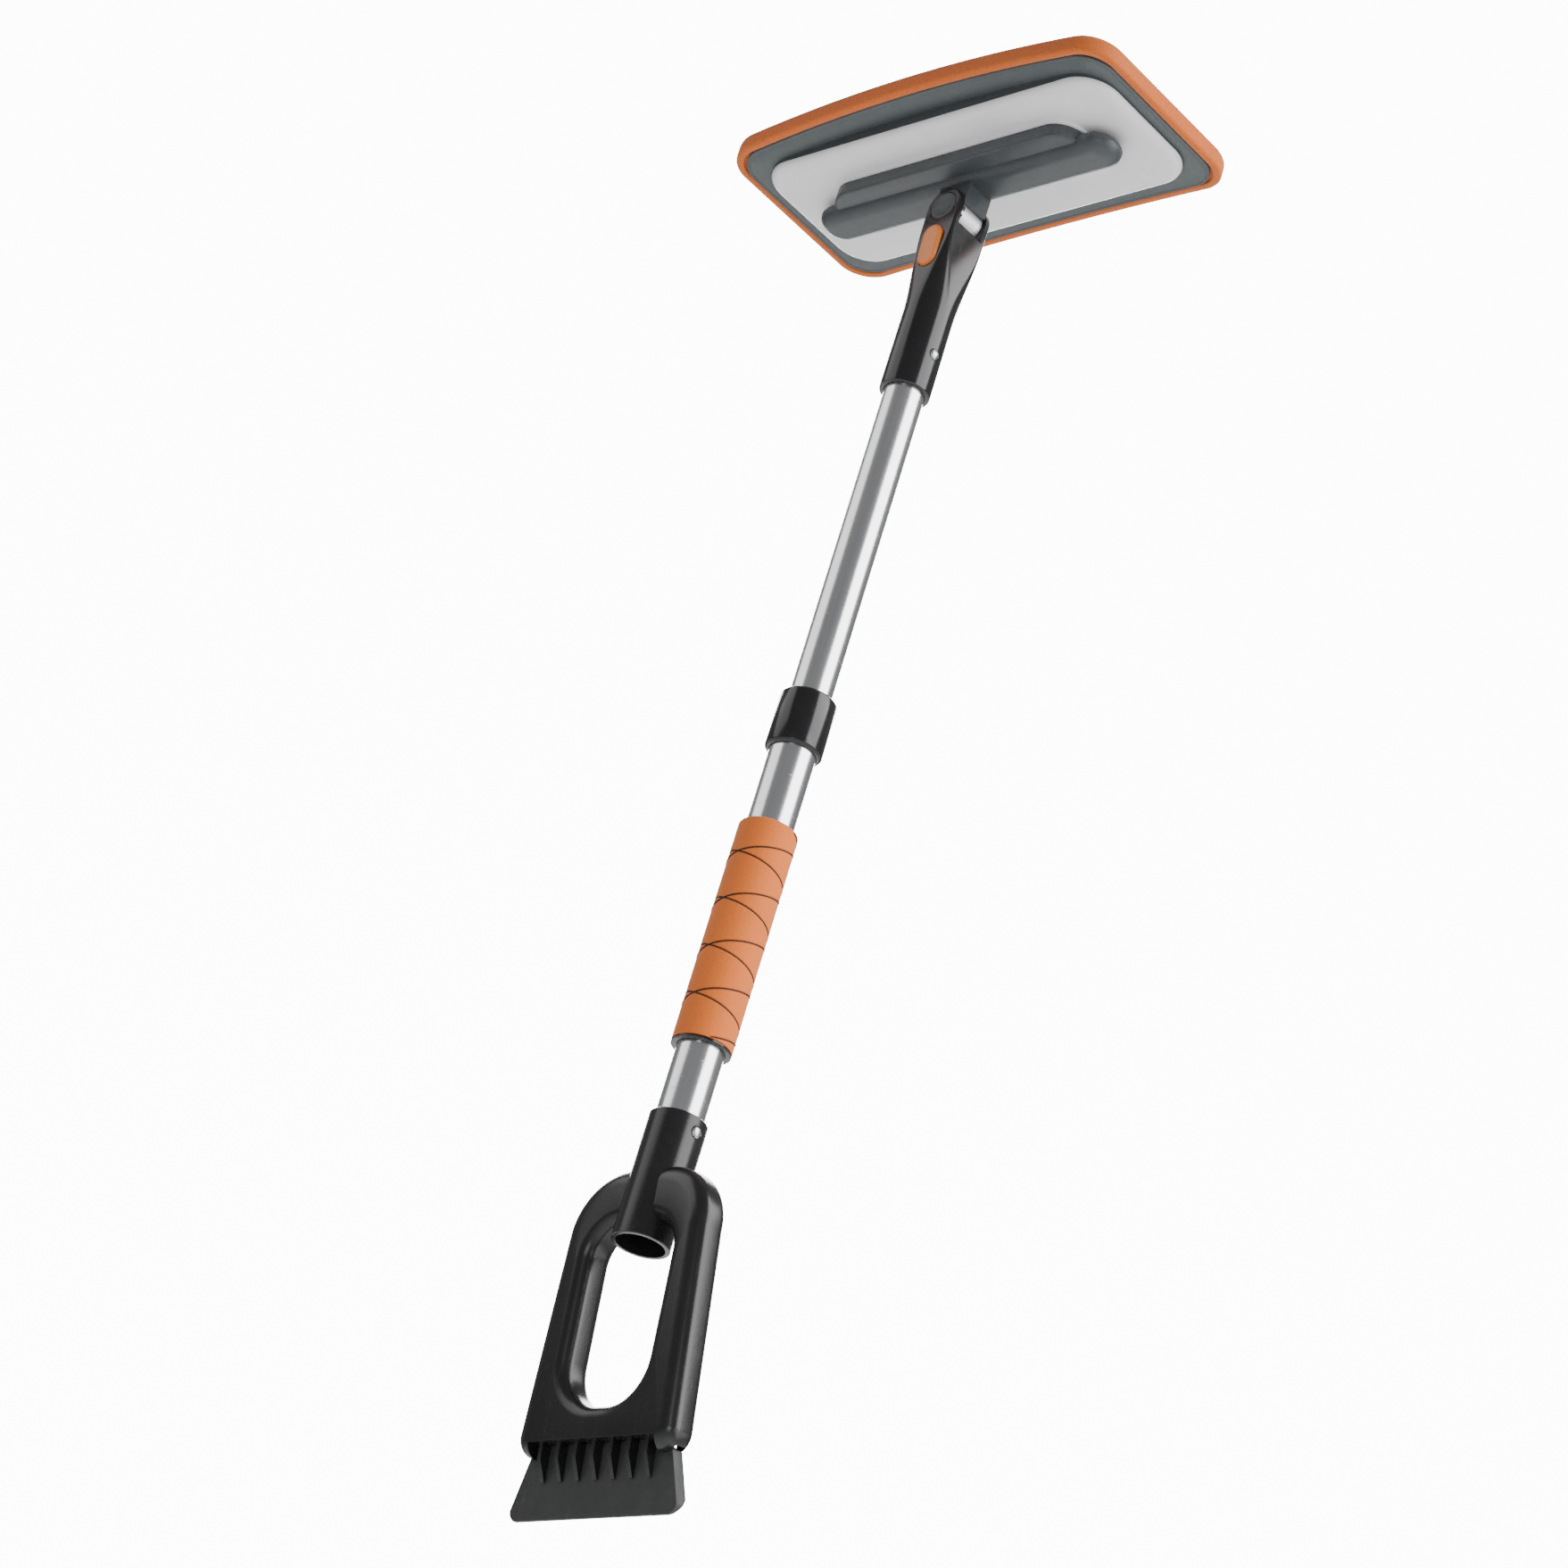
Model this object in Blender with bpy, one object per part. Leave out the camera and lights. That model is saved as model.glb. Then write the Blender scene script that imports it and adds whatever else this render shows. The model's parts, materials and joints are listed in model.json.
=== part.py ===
# A telescoping snow brush scraper: a tilting foam head, a two-part pole and a ring-handled ice scraper.
# Metres. +Z runs up the pole to the head, +X along the head's long side, +Y is the back of the scraper.
# The origin is the middle of the foam grip, on the pole's axis.
import math

import bmesh
import bpy

# Pole
OUTER_TUBE_RADIUS = 0.0125
OUTER_TUBE_WALL = 0.0009
TUBE_CLEARANCE = 0.0004
INNER_TUBE_WALL = 0.0012
GRIP_LENGTH = 0.1264
GRIP_FOAM = 0.0033
GRIP_END_ROUND = 0.0015
END_RING_THICK = 0.0012
TUBE_ABOVE_GRIP = 0.0461
TUBE_BELOW_GRIP = 0.0411
COLLAR_LENGTH = 0.0331
COLLAR_WALL = 0.00274
COLLAR_CHAMFER = 0.0012
COLLAR_LIP = 0.0027
COLLET_LENGTH = 0.0125
COLLET_WALL = 0.0018
COLLET_SLIT = 0.0015
EXPOSED_INNER_TUBE = 0.1942
TUBE_OVERLAP = 0.054
BUSH_FLANGE = 0.006
BUSH_SPIGOT = 0.012
BUSH_BORE_RADIUS = 0.007

# Forked neck
NECK_WALL = 0.0028
NECK_TO_PIVOT = 0.1171
NECK_SOCKET_DEPTH = 0.0655
FORK_TAPER_X = 0.0020
FORK_TAPER_Y = 0.0007
FORK_EDGE_ROUND = 0.0020
EAR_THICK = 0.0036
PIN_RADIUS = 0.0029
CAP_RADIUS = 0.0085
CAP_THICK = 0.0012
CAP_PROUD = 0.0003

# Lock button in the neck's near flat
BUTTON_BELOW_PIVOT = 0.0277
BUTTON_HALF_WIDTH = 0.0062
BUTTON_HALF_HEIGHT = 0.0133
BUTTON_PROUD = 0.0027
BUTTON_TRAVEL = 0.0030
BUTTON_FLANGE = 0.0009
BUTTON_LAND = 0.0015
PAWL_THICK = 0.0015
PAWL_HALF_WIDTH = 0.0028
PAWL_REACH = 0.0036
PAWL_CLEARANCE = 0.0009
POCKET_FLOOR = 0.0035
SPRING_TURNS = 4
SPRING_COIL_RADIUS = 0.0027
SPRING_WIRE_RADIUS = 0.00035

# Snap buttons
SNAP_RADIUS = 0.0031
SNAP_PROUD = 0.0015
SNAP_FLANGE = 0.0011
SNAP_FLANGE_THICK = 0.0008
UPPER_SNAP_ABOVE_RIM = 0.0229
LOWER_SNAP_BELOW_TOP = 0.0080
SNAP_STRIP_HALF_WIDTH = 0.0035
SNAP_STRIP_THICK = 0.0005
SNAP_STRIP_LENGTH = 0.0340
SNAP_BEND_RADIUS = 0.0022

# Head, measured from the pivot
PLATE_HALF_X = 0.1220
PLATE_HALF_Y = 0.0466
PLATE_CORNER = 0.0210
PLATE_THICK = 0.0040
PLATE_ABOVE_PIVOT = 0.0293
BACKING_MARGIN_X = 0.0086
BACKING_MARGIN_Y = 0.0110
BACKING_CORNER = 0.0180
BACKING_RIM = 0.0020
BACKING_STEP = -0.0003
FOAM_LIP = 0.0050
FOAM_SIDE = 0.0062
FOAM_CROWN = 0.0080
HEAD_ARCH = 0.0062
HEAD_BOW = 0.0034
BRACKET_FROM_PLATE_END = 0.0350
BRACKET_HALF_Y = 0.0235
BRACKET_BACK_Y = 0.0105
BRACKET_CORNER = 0.0160
PLINTH_HEIGHT = 0.0012
PLINTH_MARGIN = 0.0015
BRACKET_HEIGHT = 0.0090
RIDGE_FROM_PLATE_END = 0.0170
RIDGE_HALF_Y = 0.0130
RIDGE_HEIGHT = 0.0133
RIDGE_WIDEST = 0.0057
KNUCKLE_HALF_X = 0.0110
KNUCKLE_BOTTOM = 0.0033
DRUM_RADIUS = 0.0096
DRUM_NOTCHES = 12
DRUM_NOTCH_DEPTH = 0.0018
DRUM_NOTCH_HALF = 0.0012
DRUM_KEY_HALF = 0.0025
DRUM_KEY_HEIGHT = 0.0130
SCREW_SPACING_X = 0.0640
SCREW_SPACING_Y = 0.0170
SCREW_RADIUS = 0.0016
SCREW_HEAD_RADIUS = 0.0031
SCREW_HEAD_THICK = 0.0016
SCREW_BITE = 0.0050
BLADE_SCREW_RECESS = 0.0021

# Scraper, its ring drawn in a plane that leans back from the pole
SOCKET_WALL = 0.0026
SOCKET_LENGTH = 0.0691
TUBE_IN_SOCKET = 0.0457
RING_TILT = math.radians(9.5)
RING_CENTRE_ABOVE_END = 0.0084
RING_TOP = 0.0314
RING_BOTTOM = -0.1150
RING_HALF_TOP = 0.0465
RING_HALF_BOTTOM = 0.0530
RING_CORNER_TOP = 0.0330
RING_CORNER_BOTTOM = 0.0110
RING_FRONT = 0.0125
RING_BACK = 0.0075
RING_BEND = 0.0062
RING_OUTER_ROUND = 0.0090
RING_INNER_ROUND = 0.0070
RING_EDGE_DEPTH = 0.0070
OPENING_TOP = 0.0030
OPENING_BOTTOM = -0.0910
OPENING_HALF_TOP = 0.0280
OPENING_HALF_BOTTOM = 0.0275
OPENING_CORNER_TOP = 0.0180
OPENING_CORNER_BOTTOM = 0.0240
BAR_BOTTOM = -0.1080
LIMB_END_WIDTH = 0.0085
TEETH = 7
TOOTH_PITCH = 0.0120
TOOTH_THICK = 0.0024
TOOTH_BEHIND_FRONT = 0.0030
TOOTH_BOTTOM = -0.1265
TOOTH_FRONT_HEIGHT = 0.0080
BLADE_THICK = 0.0072
BLADE_TOP = -0.0970
BLADE_NECK = -0.1090
BLADE_BOTTOM = -0.1450
BLADE_HALF_NECK = 0.0400
BLADE_HALF_SHOULDER = 0.0480
BLADE_HALF_BOTTOM = 0.0565
BLADE_CORNER = 0.0055
BLADE_EDGE_THICK = 0.0016
BLADE_BEVEL = 0.0090
BLADE_SCREWS = (-0.028, 0.0, 0.028)

# Fits
GAP = 0.0003
SLIDE = 0.00025
RUNNING = 0.0001
OVERSIZE = 0.004
SAME_POINT = 0.000002
MANY_CUTS = ("index_drum", "scraper_body")
SEGMENTS = 36
SMALL_SEGMENTS = 20
CORNER_STEPS = 5
SIDE_STEPS = 8

# Radii and half sizes that follow from the sizes above
INNER_TUBE_RADIUS = OUTER_TUBE_RADIUS - OUTER_TUBE_WALL - TUBE_CLEARANCE
GRIP_RADIUS = OUTER_TUBE_RADIUS + GRIP_FOAM
COLLAR_RADIUS = OUTER_TUBE_RADIUS + COLLAR_WALL
SOCKET_RADIUS = OUTER_TUBE_RADIUS + SOCKET_WALL
NECK_RADIUS = INNER_TUBE_RADIUS + NECK_WALL
FORK_HALF_X = NECK_RADIUS - FORK_TAPER_X
FORK_HALF_Y = NECK_RADIUS - FORK_TAPER_Y
SLOT_HALF_WIDTH = FORK_HALF_Y - EAR_THICK
SLOT_BELOW_PIVOT = FORK_HALF_X
BACKING_HALF_X = PLATE_HALF_X + BACKING_MARGIN_X
BACKING_HALF_Y = PLATE_HALF_Y + BACKING_MARGIN_Y
BRACKET_HALF_X = PLATE_HALF_X - BRACKET_FROM_PLATE_END
RIDGE_HALF_X = PLATE_HALF_X - RIDGE_FROM_PLATE_END

# Heights along the pole
GRIP_TOP = GRIP_LENGTH / 2
COLLAR_BOTTOM = GRIP_TOP + TUBE_ABOVE_GRIP
COLLAR_TOP = COLLAR_BOTTOM + COLLAR_LENGTH
COLLET_TOP = COLLAR_TOP - COLLAR_LIP - GAP
OUTER_TUBE_TOP = COLLET_TOP - COLLET_LENGTH - GAP
INNER_TUBE_BOTTOM = COLLAR_TOP - TUBE_OVERLAP
NECK_RIM = COLLAR_TOP + EXPOSED_INNER_TUBE
INNER_TUBE_TOP = NECK_RIM + NECK_SOCKET_DEPTH - GAP
PIVOT = NECK_RIM + NECK_TO_PIVOT
UPPER_SNAP = NECK_RIM + UPPER_SNAP_ABOVE_RIM
SOCKET_TOP = -GRIP_TOP - TUBE_BELOW_GRIP
SOCKET_END = SOCKET_TOP - SOCKET_LENGTH
OUTER_TUBE_BOTTOM = SOCKET_TOP - TUBE_IN_SOCKET
LOWER_SNAP = SOCKET_TOP - LOWER_SNAP_BELOW_TOP
RING_CENTRE = SOCKET_END + RING_CENTRE_ABOVE_END


def clear_scene():
    for thing in list(bpy.data.objects):
        bpy.data.objects.remove(thing, do_unlink=True)


def empty(name, location, parent=None, tilt=0.0):
    frame = bpy.data.objects.new(name, None)
    bpy.context.scene.collection.objects.link(frame)
    frame.parent = parent
    frame.location = location
    frame.rotation_euler = (tilt, 0.0, 0.0)
    return frame


def finish(name, look):
    colour, roughness, metallic = look
    made = bpy.data.materials.new(name)
    made.use_nodes = True
    shader = made.node_tree.nodes["Principled BSDF"]
    shader.inputs["Base Color"].default_value = (*colour, 1.0)
    shader.inputs["Roughness"].default_value = roughness
    shader.inputs["Metallic"].default_value = metallic
    return made


def solid(name, points, faces, parent, look=None):
    # A mesh object with its faces pointing out. With no look it is a tool for cuts and joins.
    mesh = bpy.data.meshes.new(name)
    mesh.from_pydata(points, [], faces)
    work = bmesh.new()
    work.from_mesh(mesh)
    bmesh.ops.remove_doubles(work, verts=work.verts, dist=SAME_POINT)
    bmesh.ops.recalc_face_normals(work, faces=work.faces)
    work.to_mesh(mesh)
    work.free()
    thing = bpy.data.objects.new(name, mesh)
    bpy.context.scene.collection.objects.link(thing)
    thing.parent = parent
    if look is None:
        thing.hide_render = True
        thing.display_type = "WIRE"
    else:
        mesh.materials.append(finish(name, look))
        mesh.shade_smooth()
        mesh.set_sharp_from_angle(angle=math.radians(32))
    return thing


def boolean(target, tools, operation):
    for tool in tools:
        step = target.modifiers.new(operation.lower(), "BOOLEAN")
        step.operation = operation
        step.solver = "MANIFOLD" if target.name in MANY_CUTS else "EXACT"
        step.object = tool
    return target


def cut(target, *tools):
    return boolean(target, tools, "DIFFERENCE")


def join(target, *tools):
    return boolean(target, tools, "UNION")


def on_axis(axis, x, y, z):
    # Turns a point drawn around Z so that it lies around another axis.
    if axis == "X":
        return (z, x, y)
    if axis == "Y":
        return (y, z, x)
    return (x, y, z)


def turned(name, profile, parent, look=None, axis="Z", centre=(0, 0, 0), segments=SEGMENTS):
    # Turns (radius, height) points about an axis. A profile that starts and ends on the axis is solid,
    # and any other is a closed loop.
    points = []
    rows = []
    for radius, height in profile:
        if radius == 0:
            rows.append([len(points)] * segments)
            points.append((0, 0, height))
            continue
        rows.append(list(range(len(points), len(points) + segments)))
        for step in range(segments):
            angle = 2 * math.pi * (step + 0.5) / segments
            points.append((radius * math.cos(angle), radius * math.sin(angle), height))
    if profile[0][0] > 0:
        rows.append(rows[0])
    faces = []
    for low, high in zip(rows, rows[1:]):
        for step in range(segments):
            after = (step + 1) % segments
            face = [low[step], low[after], high[after], high[step]]
            corners = list(dict.fromkeys(face))
            if len(corners) > 2:
                faces.append(corners)
    placed = []
    for point in points:
        x, y, z = on_axis(axis, *point)
        placed.append((x + centre[0], y + centre[1], z + centre[2]))
    return solid(name, placed, faces, parent, look)


def rod(name, radius, start, end, parent, look=None, axis="Z", centre=(0, 0, 0), segments=SEGMENTS):
    profile = [(0, start), (radius, start), (radius, end), (0, end)]
    return turned(name, profile, parent, look, axis, centre, segments)


def block(name, low, high, parent, look=None):
    points = []
    for x in (low[0], high[0]):
        for y in (low[1], high[1]):
            for z in (low[2], high[2]):
                points.append((x, y, z))
    faces = [(0, 1, 3, 2), (4, 6, 7, 5), (0, 4, 5, 1), (2, 3, 7, 6), (0, 2, 6, 4), (1, 5, 7, 3)]
    return solid(name, points, faces, parent, look)


def loft(name, loops, parent, look=None):
    # Joins a stack of closed loops that have the same number of points, with a flat face on each end.
    count = len(loops[0])
    points = [point for loop in loops for point in loop]
    faces = [list(range(count)), list(range(len(points) - count, len(points)))]
    for level in range(len(loops) - 1):
        base = level * count
        for step in range(count):
            after = (step + 1) % count
            faces.append((base + step, base + after, base + count + after, base + count + step))
    return solid(name, points, faces, parent, look)


def prism(name, outline, start, end, parent, look=None, axis="Z"):
    # Extrudes a flat outline along an axis.
    loops = [[on_axis(axis, x, y, level) for x, y in outline] for level in (start, end)]
    return loft(name, loops, parent, look)


def rounded(half_top, half_bottom, top, bottom, corner_top, corner_bottom, steps=CORNER_STEPS):
    # A four-cornered outline with round corners, symmetric about x = 0, as (x, height) points.
    centres = (
        (half_top - corner_top, top - corner_top, corner_top, 0),
        (corner_top - half_top, top - corner_top, corner_top, 1),
        (corner_bottom - half_bottom, bottom + corner_bottom, corner_bottom, 2),
        (half_bottom - corner_bottom, bottom + corner_bottom, corner_bottom, 3),
    )
    outline = []
    for x, height, radius, quarter in centres:
        for step in range(steps + 1):
            angle = (quarter + step / steps) * math.pi / 2
            outline.append((x + radius * math.cos(angle), height + radius * math.sin(angle)))
    return outline


def box_outline(half_x, half_y, corner, steps=CORNER_STEPS):
    return rounded(half_x, half_x, half_y, -half_y, corner, corner, steps)


def head_half(half_x, half_y, corner, bow):
    # One long side of a head layer, from +X to -X, with bowed edge and round corners.
    side = []
    for step in range(CORNER_STEPS + 1):
        angle = step / CORNER_STEPS * math.pi / 2
        x = half_x - corner + corner * math.cos(angle)
        side.append((x, half_y - corner + corner * math.sin(angle)))
    for step in range(1, SIDE_STEPS):
        x = (half_x - corner) * (1 - 2 * step / SIDE_STEPS)
        side.append((x, half_y))
    side += [(-x, y) for x, y in reversed(side[: CORNER_STEPS + 1])]
    return [(x, y + bow * (1 - (x / half_x) ** 2) * y / half_y) for x, y in side]


def head_layer(name, rows, half_x, half_y, corner, bow, parent, look=None):
    # Stacks bowed loops of (inset, height, arch), where arch is the loop's share of the head's arch, and
    # closes both ends with strips.
    points = []
    loops = []
    for inset, height, share in rows:
        half = head_half(half_x - inset, half_y - inset, max(corner - inset, 0.001), bow)
        loop = half + [(x, -y) for x, y in reversed(half)]
        loops.append(list(range(len(points), len(points) + len(loop))))
        for x, y in loop:
            points.append((x, y, height + share * HEAD_ARCH * (1 - (x / BACKING_HALF_X) ** 2)))
    count = len(loops[0])
    faces = []
    for low, high in zip(loops, loops[1:]):
        for step in range(count):
            after = (step + 1) % count
            faces.append((low[step], low[after], high[after], high[step]))
    for loop in (loops[0], loops[-1]):
        for step in range(count // 2 - 1):
            faces.append((loop[step], loop[step + 1], loop[count - 2 - step], loop[count - 1 - step]))
    return solid(name, points, faces, parent, look)


# Looks: colour, roughness, metallic
ORANGE_FOAM = ((0.80, 0.27, 0.05), 0.85, 0.0)
ORANGE_PLASTIC = ((0.85, 0.26, 0.04), 0.35, 0.0)
GREY_PLASTIC = ((0.075, 0.09, 0.095), 0.45, 0.0)
DARK_PLASTIC = ((0.05, 0.055, 0.06), 0.45, 0.0)
SILVER_PLASTIC = ((0.62, 0.62, 0.63), 0.35, 0.3)
BLACK_GLOSS = ((0.012, 0.012, 0.013), 0.18, 0.0)
ALUMINIUM = ((0.75, 0.76, 0.78), 0.28, 1.0)
STEEL = ((0.62, 0.63, 0.65), 0.25, 1.0)
ZINC = ((0.66, 0.67, 0.68), 0.40, 1.0)
WHITE_PLASTIC = ((0.78, 0.78, 0.76), 0.50, 0.0)


def make_tubes(handle, pole):
    inner = OUTER_TUBE_RADIUS - OUTER_TUBE_WALL
    profile = [
        (OUTER_TUBE_RADIUS, OUTER_TUBE_BOTTOM),
        (OUTER_TUBE_RADIUS, OUTER_TUBE_TOP),
        (inner, OUTER_TUBE_TOP),
        (inner, OUTER_TUBE_BOTTOM),
    ]
    outer_tube = turned("outer_tube", profile, handle, ALUMINIUM)
    cut(outer_tube, snap_hole("outer_tube_hole", LOWER_SNAP, handle))
    inner = INNER_TUBE_RADIUS - INNER_TUBE_WALL
    profile = [
        (INNER_TUBE_RADIUS, INNER_TUBE_BOTTOM),
        (INNER_TUBE_RADIUS, INNER_TUBE_TOP),
        (inner, INNER_TUBE_TOP),
        (inner, INNER_TUBE_BOTTOM),
    ]
    inner_tube = turned("inner_tube", profile, pole, ALUMINIUM)
    cut(inner_tube, snap_hole("inner_tube_hole", UPPER_SNAP, pole))


def make_inner_bush(pole):
    # The flange guides the tube's lower end, and the spigot plugs into it.
    flange = OUTER_TUBE_RADIUS - OUTER_TUBE_WALL - RUNNING
    spigot = INNER_TUBE_RADIUS - INNER_TUBE_WALL - GAP
    seat = INNER_TUBE_BOTTOM - GAP
    profile = [
        (flange, seat - BUSH_FLANGE),
        (flange, seat),
        (spigot, seat),
        (spigot, seat + BUSH_SPIGOT),
        (BUSH_BORE_RADIUS, seat + BUSH_SPIGOT),
        (BUSH_BORE_RADIUS, seat - BUSH_FLANGE),
    ]
    turned("inner_bush", profile, pole, WHITE_PLASTIC)


def make_grip(handle):
    bore = OUTER_TUBE_RADIUS + GAP
    profile = [
        (bore, -GRIP_TOP),
        (GRIP_RADIUS - GRIP_END_ROUND / 3, -GRIP_TOP),
        (GRIP_RADIUS, -GRIP_TOP + GRIP_END_ROUND / 3),
        (GRIP_RADIUS, GRIP_TOP - GRIP_END_ROUND),
        (GRIP_RADIUS - GRIP_END_ROUND, GRIP_TOP),
        (bore, GRIP_TOP),
    ]
    turned("foam_grip", profile, handle, ORANGE_FOAM)
    ring_top = -GRIP_TOP - GAP
    profile = [
        (bore, ring_top - END_RING_THICK),
        (GRIP_RADIUS - GRIP_END_ROUND / 3, ring_top - END_RING_THICK),
        (GRIP_RADIUS, ring_top - END_RING_THICK / 2),
        (GRIP_RADIUS, ring_top),
        (bore, ring_top),
    ]
    turned("grip_end_ring", profile, handle, BLACK_GLOSS)


def make_collar(collar, handle):
    tube_bore = OUTER_TUBE_RADIUS + SLIDE
    lip_bore = INNER_TUBE_RADIUS + GAP
    cavity = INNER_TUBE_RADIUS + SLIDE + COLLET_WALL + GAP
    shelf = OUTER_TUBE_TOP + GAP
    low = COLLAR_BOTTOM - COLLAR_TOP
    profile = [
        (tube_bore, low),
        (COLLAR_RADIUS - COLLAR_CHAMFER, low),
        (COLLAR_RADIUS, low + COLLAR_CHAMFER),
        (COLLAR_RADIUS, -COLLAR_CHAMFER),
        (COLLAR_RADIUS - COLLAR_CHAMFER, 0),
        (lip_bore, 0),
        (lip_bore, -COLLAR_LIP),
        (cavity, -COLLAR_LIP),
        (cavity, shelf - COLLAR_TOP),
        (tube_bore, shelf - COLLAR_TOP),
    ]
    turned("twist_collar", profile, collar, BLACK_GLOSS)
    bore = INNER_TUBE_RADIUS + SLIDE
    profile = [
        (bore, COLLET_TOP - COLLET_LENGTH),
        (bore + COLLET_WALL, COLLET_TOP - COLLET_LENGTH),
        (bore + COLLET_WALL, COLLET_TOP),
        (bore, COLLET_TOP),
    ]
    collet = turned("collet", profile, handle, WHITE_PLASTIC)
    slit_low = (-cavity - OVERSIZE, -COLLET_SLIT / 2, COLLET_TOP - COLLET_LENGTH - OVERSIZE)
    slit_high = (-bore / 2, COLLET_SLIT / 2, COLLET_TOP + OVERSIZE)
    cut(collet, block("collet_slit", slit_low, slit_high, handle))


def snap_hole(name, height, parent):
    reach = max(NECK_RADIUS, SOCKET_RADIUS) + OVERSIZE
    centre = (0, 0, height)
    return rod(name, SNAP_RADIUS + GAP, 0.004, reach, parent, None, "X", centre, SMALL_SEGMENTS)


def make_snap(name, tube_bore, sleeve_radius, height, bend, parent, frame):
    # A domed button with a flange inside the tube, and a folded leaf spring behind it. The leaf folds
    # above the button where bend is 1 and below it where bend is -1.
    flange_radius = SNAP_RADIUS + SNAP_FLANGE
    flange = math.sqrt(tube_bore**2 - flange_radius**2) - GAP
    seat = flange - SNAP_FLANGE_THICK
    top = sleeve_radius + SNAP_PROUD
    profile = [(0, seat), (flange_radius, seat), (flange_radius, flange), (SNAP_RADIUS, flange)]
    for step in range(4):
        angle = step / 4 * math.pi / 2
        dome = top - SNAP_PROUD + SNAP_PROUD * math.sin(angle)
        profile.append((SNAP_RADIUS * math.cos(angle), dome))
    profile.append((0, top))
    turned(name + "_button", profile, frame, STEEL, "X", (0, 0, 0), SMALL_SEGMENTS)
    half = SNAP_STRIP_THICK / 2
    front = seat - GAP - half
    back = math.sqrt(tube_bore**2 - SNAP_STRIP_HALF_WIDTH**2) - GAP - half
    pad = SNAP_RADIUS + SNAP_FLANGE
    fold = height + bend * SNAP_STRIP_LENGTH
    path = [(front, height - bend * pad), (front, height + bend * pad)]
    for step in range(9):
        angle = step / 8 * math.pi
        x = -back + SNAP_BEND_RADIUS * (1 + math.cos(angle))
        path.append((x, fold + bend * SNAP_BEND_RADIUS * math.sin(angle)))
    path.append((-back, height - bend * pad))
    outline = thick_line(path, half)
    loops = [[(x, y, z) for x, z in outline] for y in (-SNAP_STRIP_HALF_WIDTH, SNAP_STRIP_HALF_WIDTH)]
    loft(name + "_spring", loops, parent, STEEL)


def thick_line(path, half):
    # The outline of a strip that runs along a path of (x, z) points.
    left = []
    right = []
    for index, (x, z) in enumerate(path):
        before = path[max(index - 1, 0)]
        after = path[min(index + 1, len(path) - 1)]
        run = math.hypot(after[0] - before[0], after[1] - before[1])
        across = ((before[1] - after[1]) / run * half, (after[0] - before[0]) / run * half)
        left.append((x + across[0], z + across[1]))
        right.append((x - across[0], z - across[1]))
    return left + right[::-1]


def make_neck(pole):
    # Round below, blending to a flat-sided block whose two ears are round about the pivot.
    shape = [
        (NECK_RIM, NECK_RADIUS - 0.0004, NECK_RADIUS - 0.0004, NECK_RADIUS - 0.0004),
        (NECK_RIM + 0.0006, NECK_RADIUS, NECK_RADIUS, NECK_RADIUS),
        (PIVOT - 0.0690, NECK_RADIUS, NECK_RADIUS, NECK_RADIUS),
    ]
    blend_start = PIVOT - 0.0690
    blend_end = PIVOT - 0.0130
    for step in range(1, 6):
        part = step / 5
        ease = part * part * (3 - 2 * part)
        half_x = NECK_RADIUS + (FORK_HALF_X - NECK_RADIUS) * ease
        half_y = NECK_RADIUS + (FORK_HALF_Y - NECK_RADIUS) * ease
        corner = NECK_RADIUS + (FORK_EDGE_ROUND - NECK_RADIUS) * ease
        corner = min(corner, half_x, half_y)
        shape.append((blend_start + (blend_end - blend_start) * part, half_x, half_y, corner))
    for step in range(8):
        angle = math.radians(step * 11.5)
        half_x = FORK_HALF_X * math.cos(angle)
        corner = min(FORK_EDGE_ROUND, half_x * 0.9)
        shape.append((PIVOT + FORK_HALF_X * math.sin(angle), half_x, FORK_HALF_Y, corner))
    loops = []
    for height, half_x, half_y, corner in shape:
        outline = box_outline(half_x, half_y, corner, 8)
        loops.append([(x, y, height) for x, y in outline])
    neck = loft("neck", loops, pole, BLACK_GLOSS)
    socket = NECK_RIM + NECK_SOCKET_DEPTH
    bore = rod("neck_bore", INNER_TUBE_RADIUS + SLIDE, NECK_RIM - OVERSIZE, socket, pole)
    slot_low = (-NECK_RADIUS - OVERSIZE, -SLOT_HALF_WIDTH, PIVOT - SLOT_BELOW_PIVOT)
    slot_high = (NECK_RADIUS + OVERSIZE, SLOT_HALF_WIDTH, PIVOT + FORK_HALF_X + OVERSIZE)
    slot = block("neck_slot", slot_low, slot_high, pole)
    reach = FORK_HALF_Y + OVERSIZE
    centre = (0, 0, PIVOT)
    floor = FORK_HALF_Y - CAP_THICK
    recess = CAP_RADIUS + GAP
    hole = PIN_RADIUS + RUNNING
    profile = [(0, -reach), (recess, -reach), (recess, -floor), (hole, -floor)]
    profile += [(hole, floor), (recess, floor), (recess, reach), (0, reach)]
    pivot_hole = turned("neck_pivot_hole", profile, pole, None, "Y", centre)
    cut(neck, bore, slot, pivot_hole, snap_hole("neck_snap_hole", UPPER_SNAP, pole))
    cut(neck, *button_pocket(pole))


def button_outline(grow):
    # The lock button's oval, as (z, x) points for a prism along Y.
    half = BUTTON_HALF_WIDTH + grow
    outline = rounded(half, half, BUTTON_HALF_HEIGHT + grow, -BUTTON_HALF_HEIGHT - grow, half, half)
    return [(height + PIVOT - BUTTON_BELOW_PIVOT, x) for x, height in outline]


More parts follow.
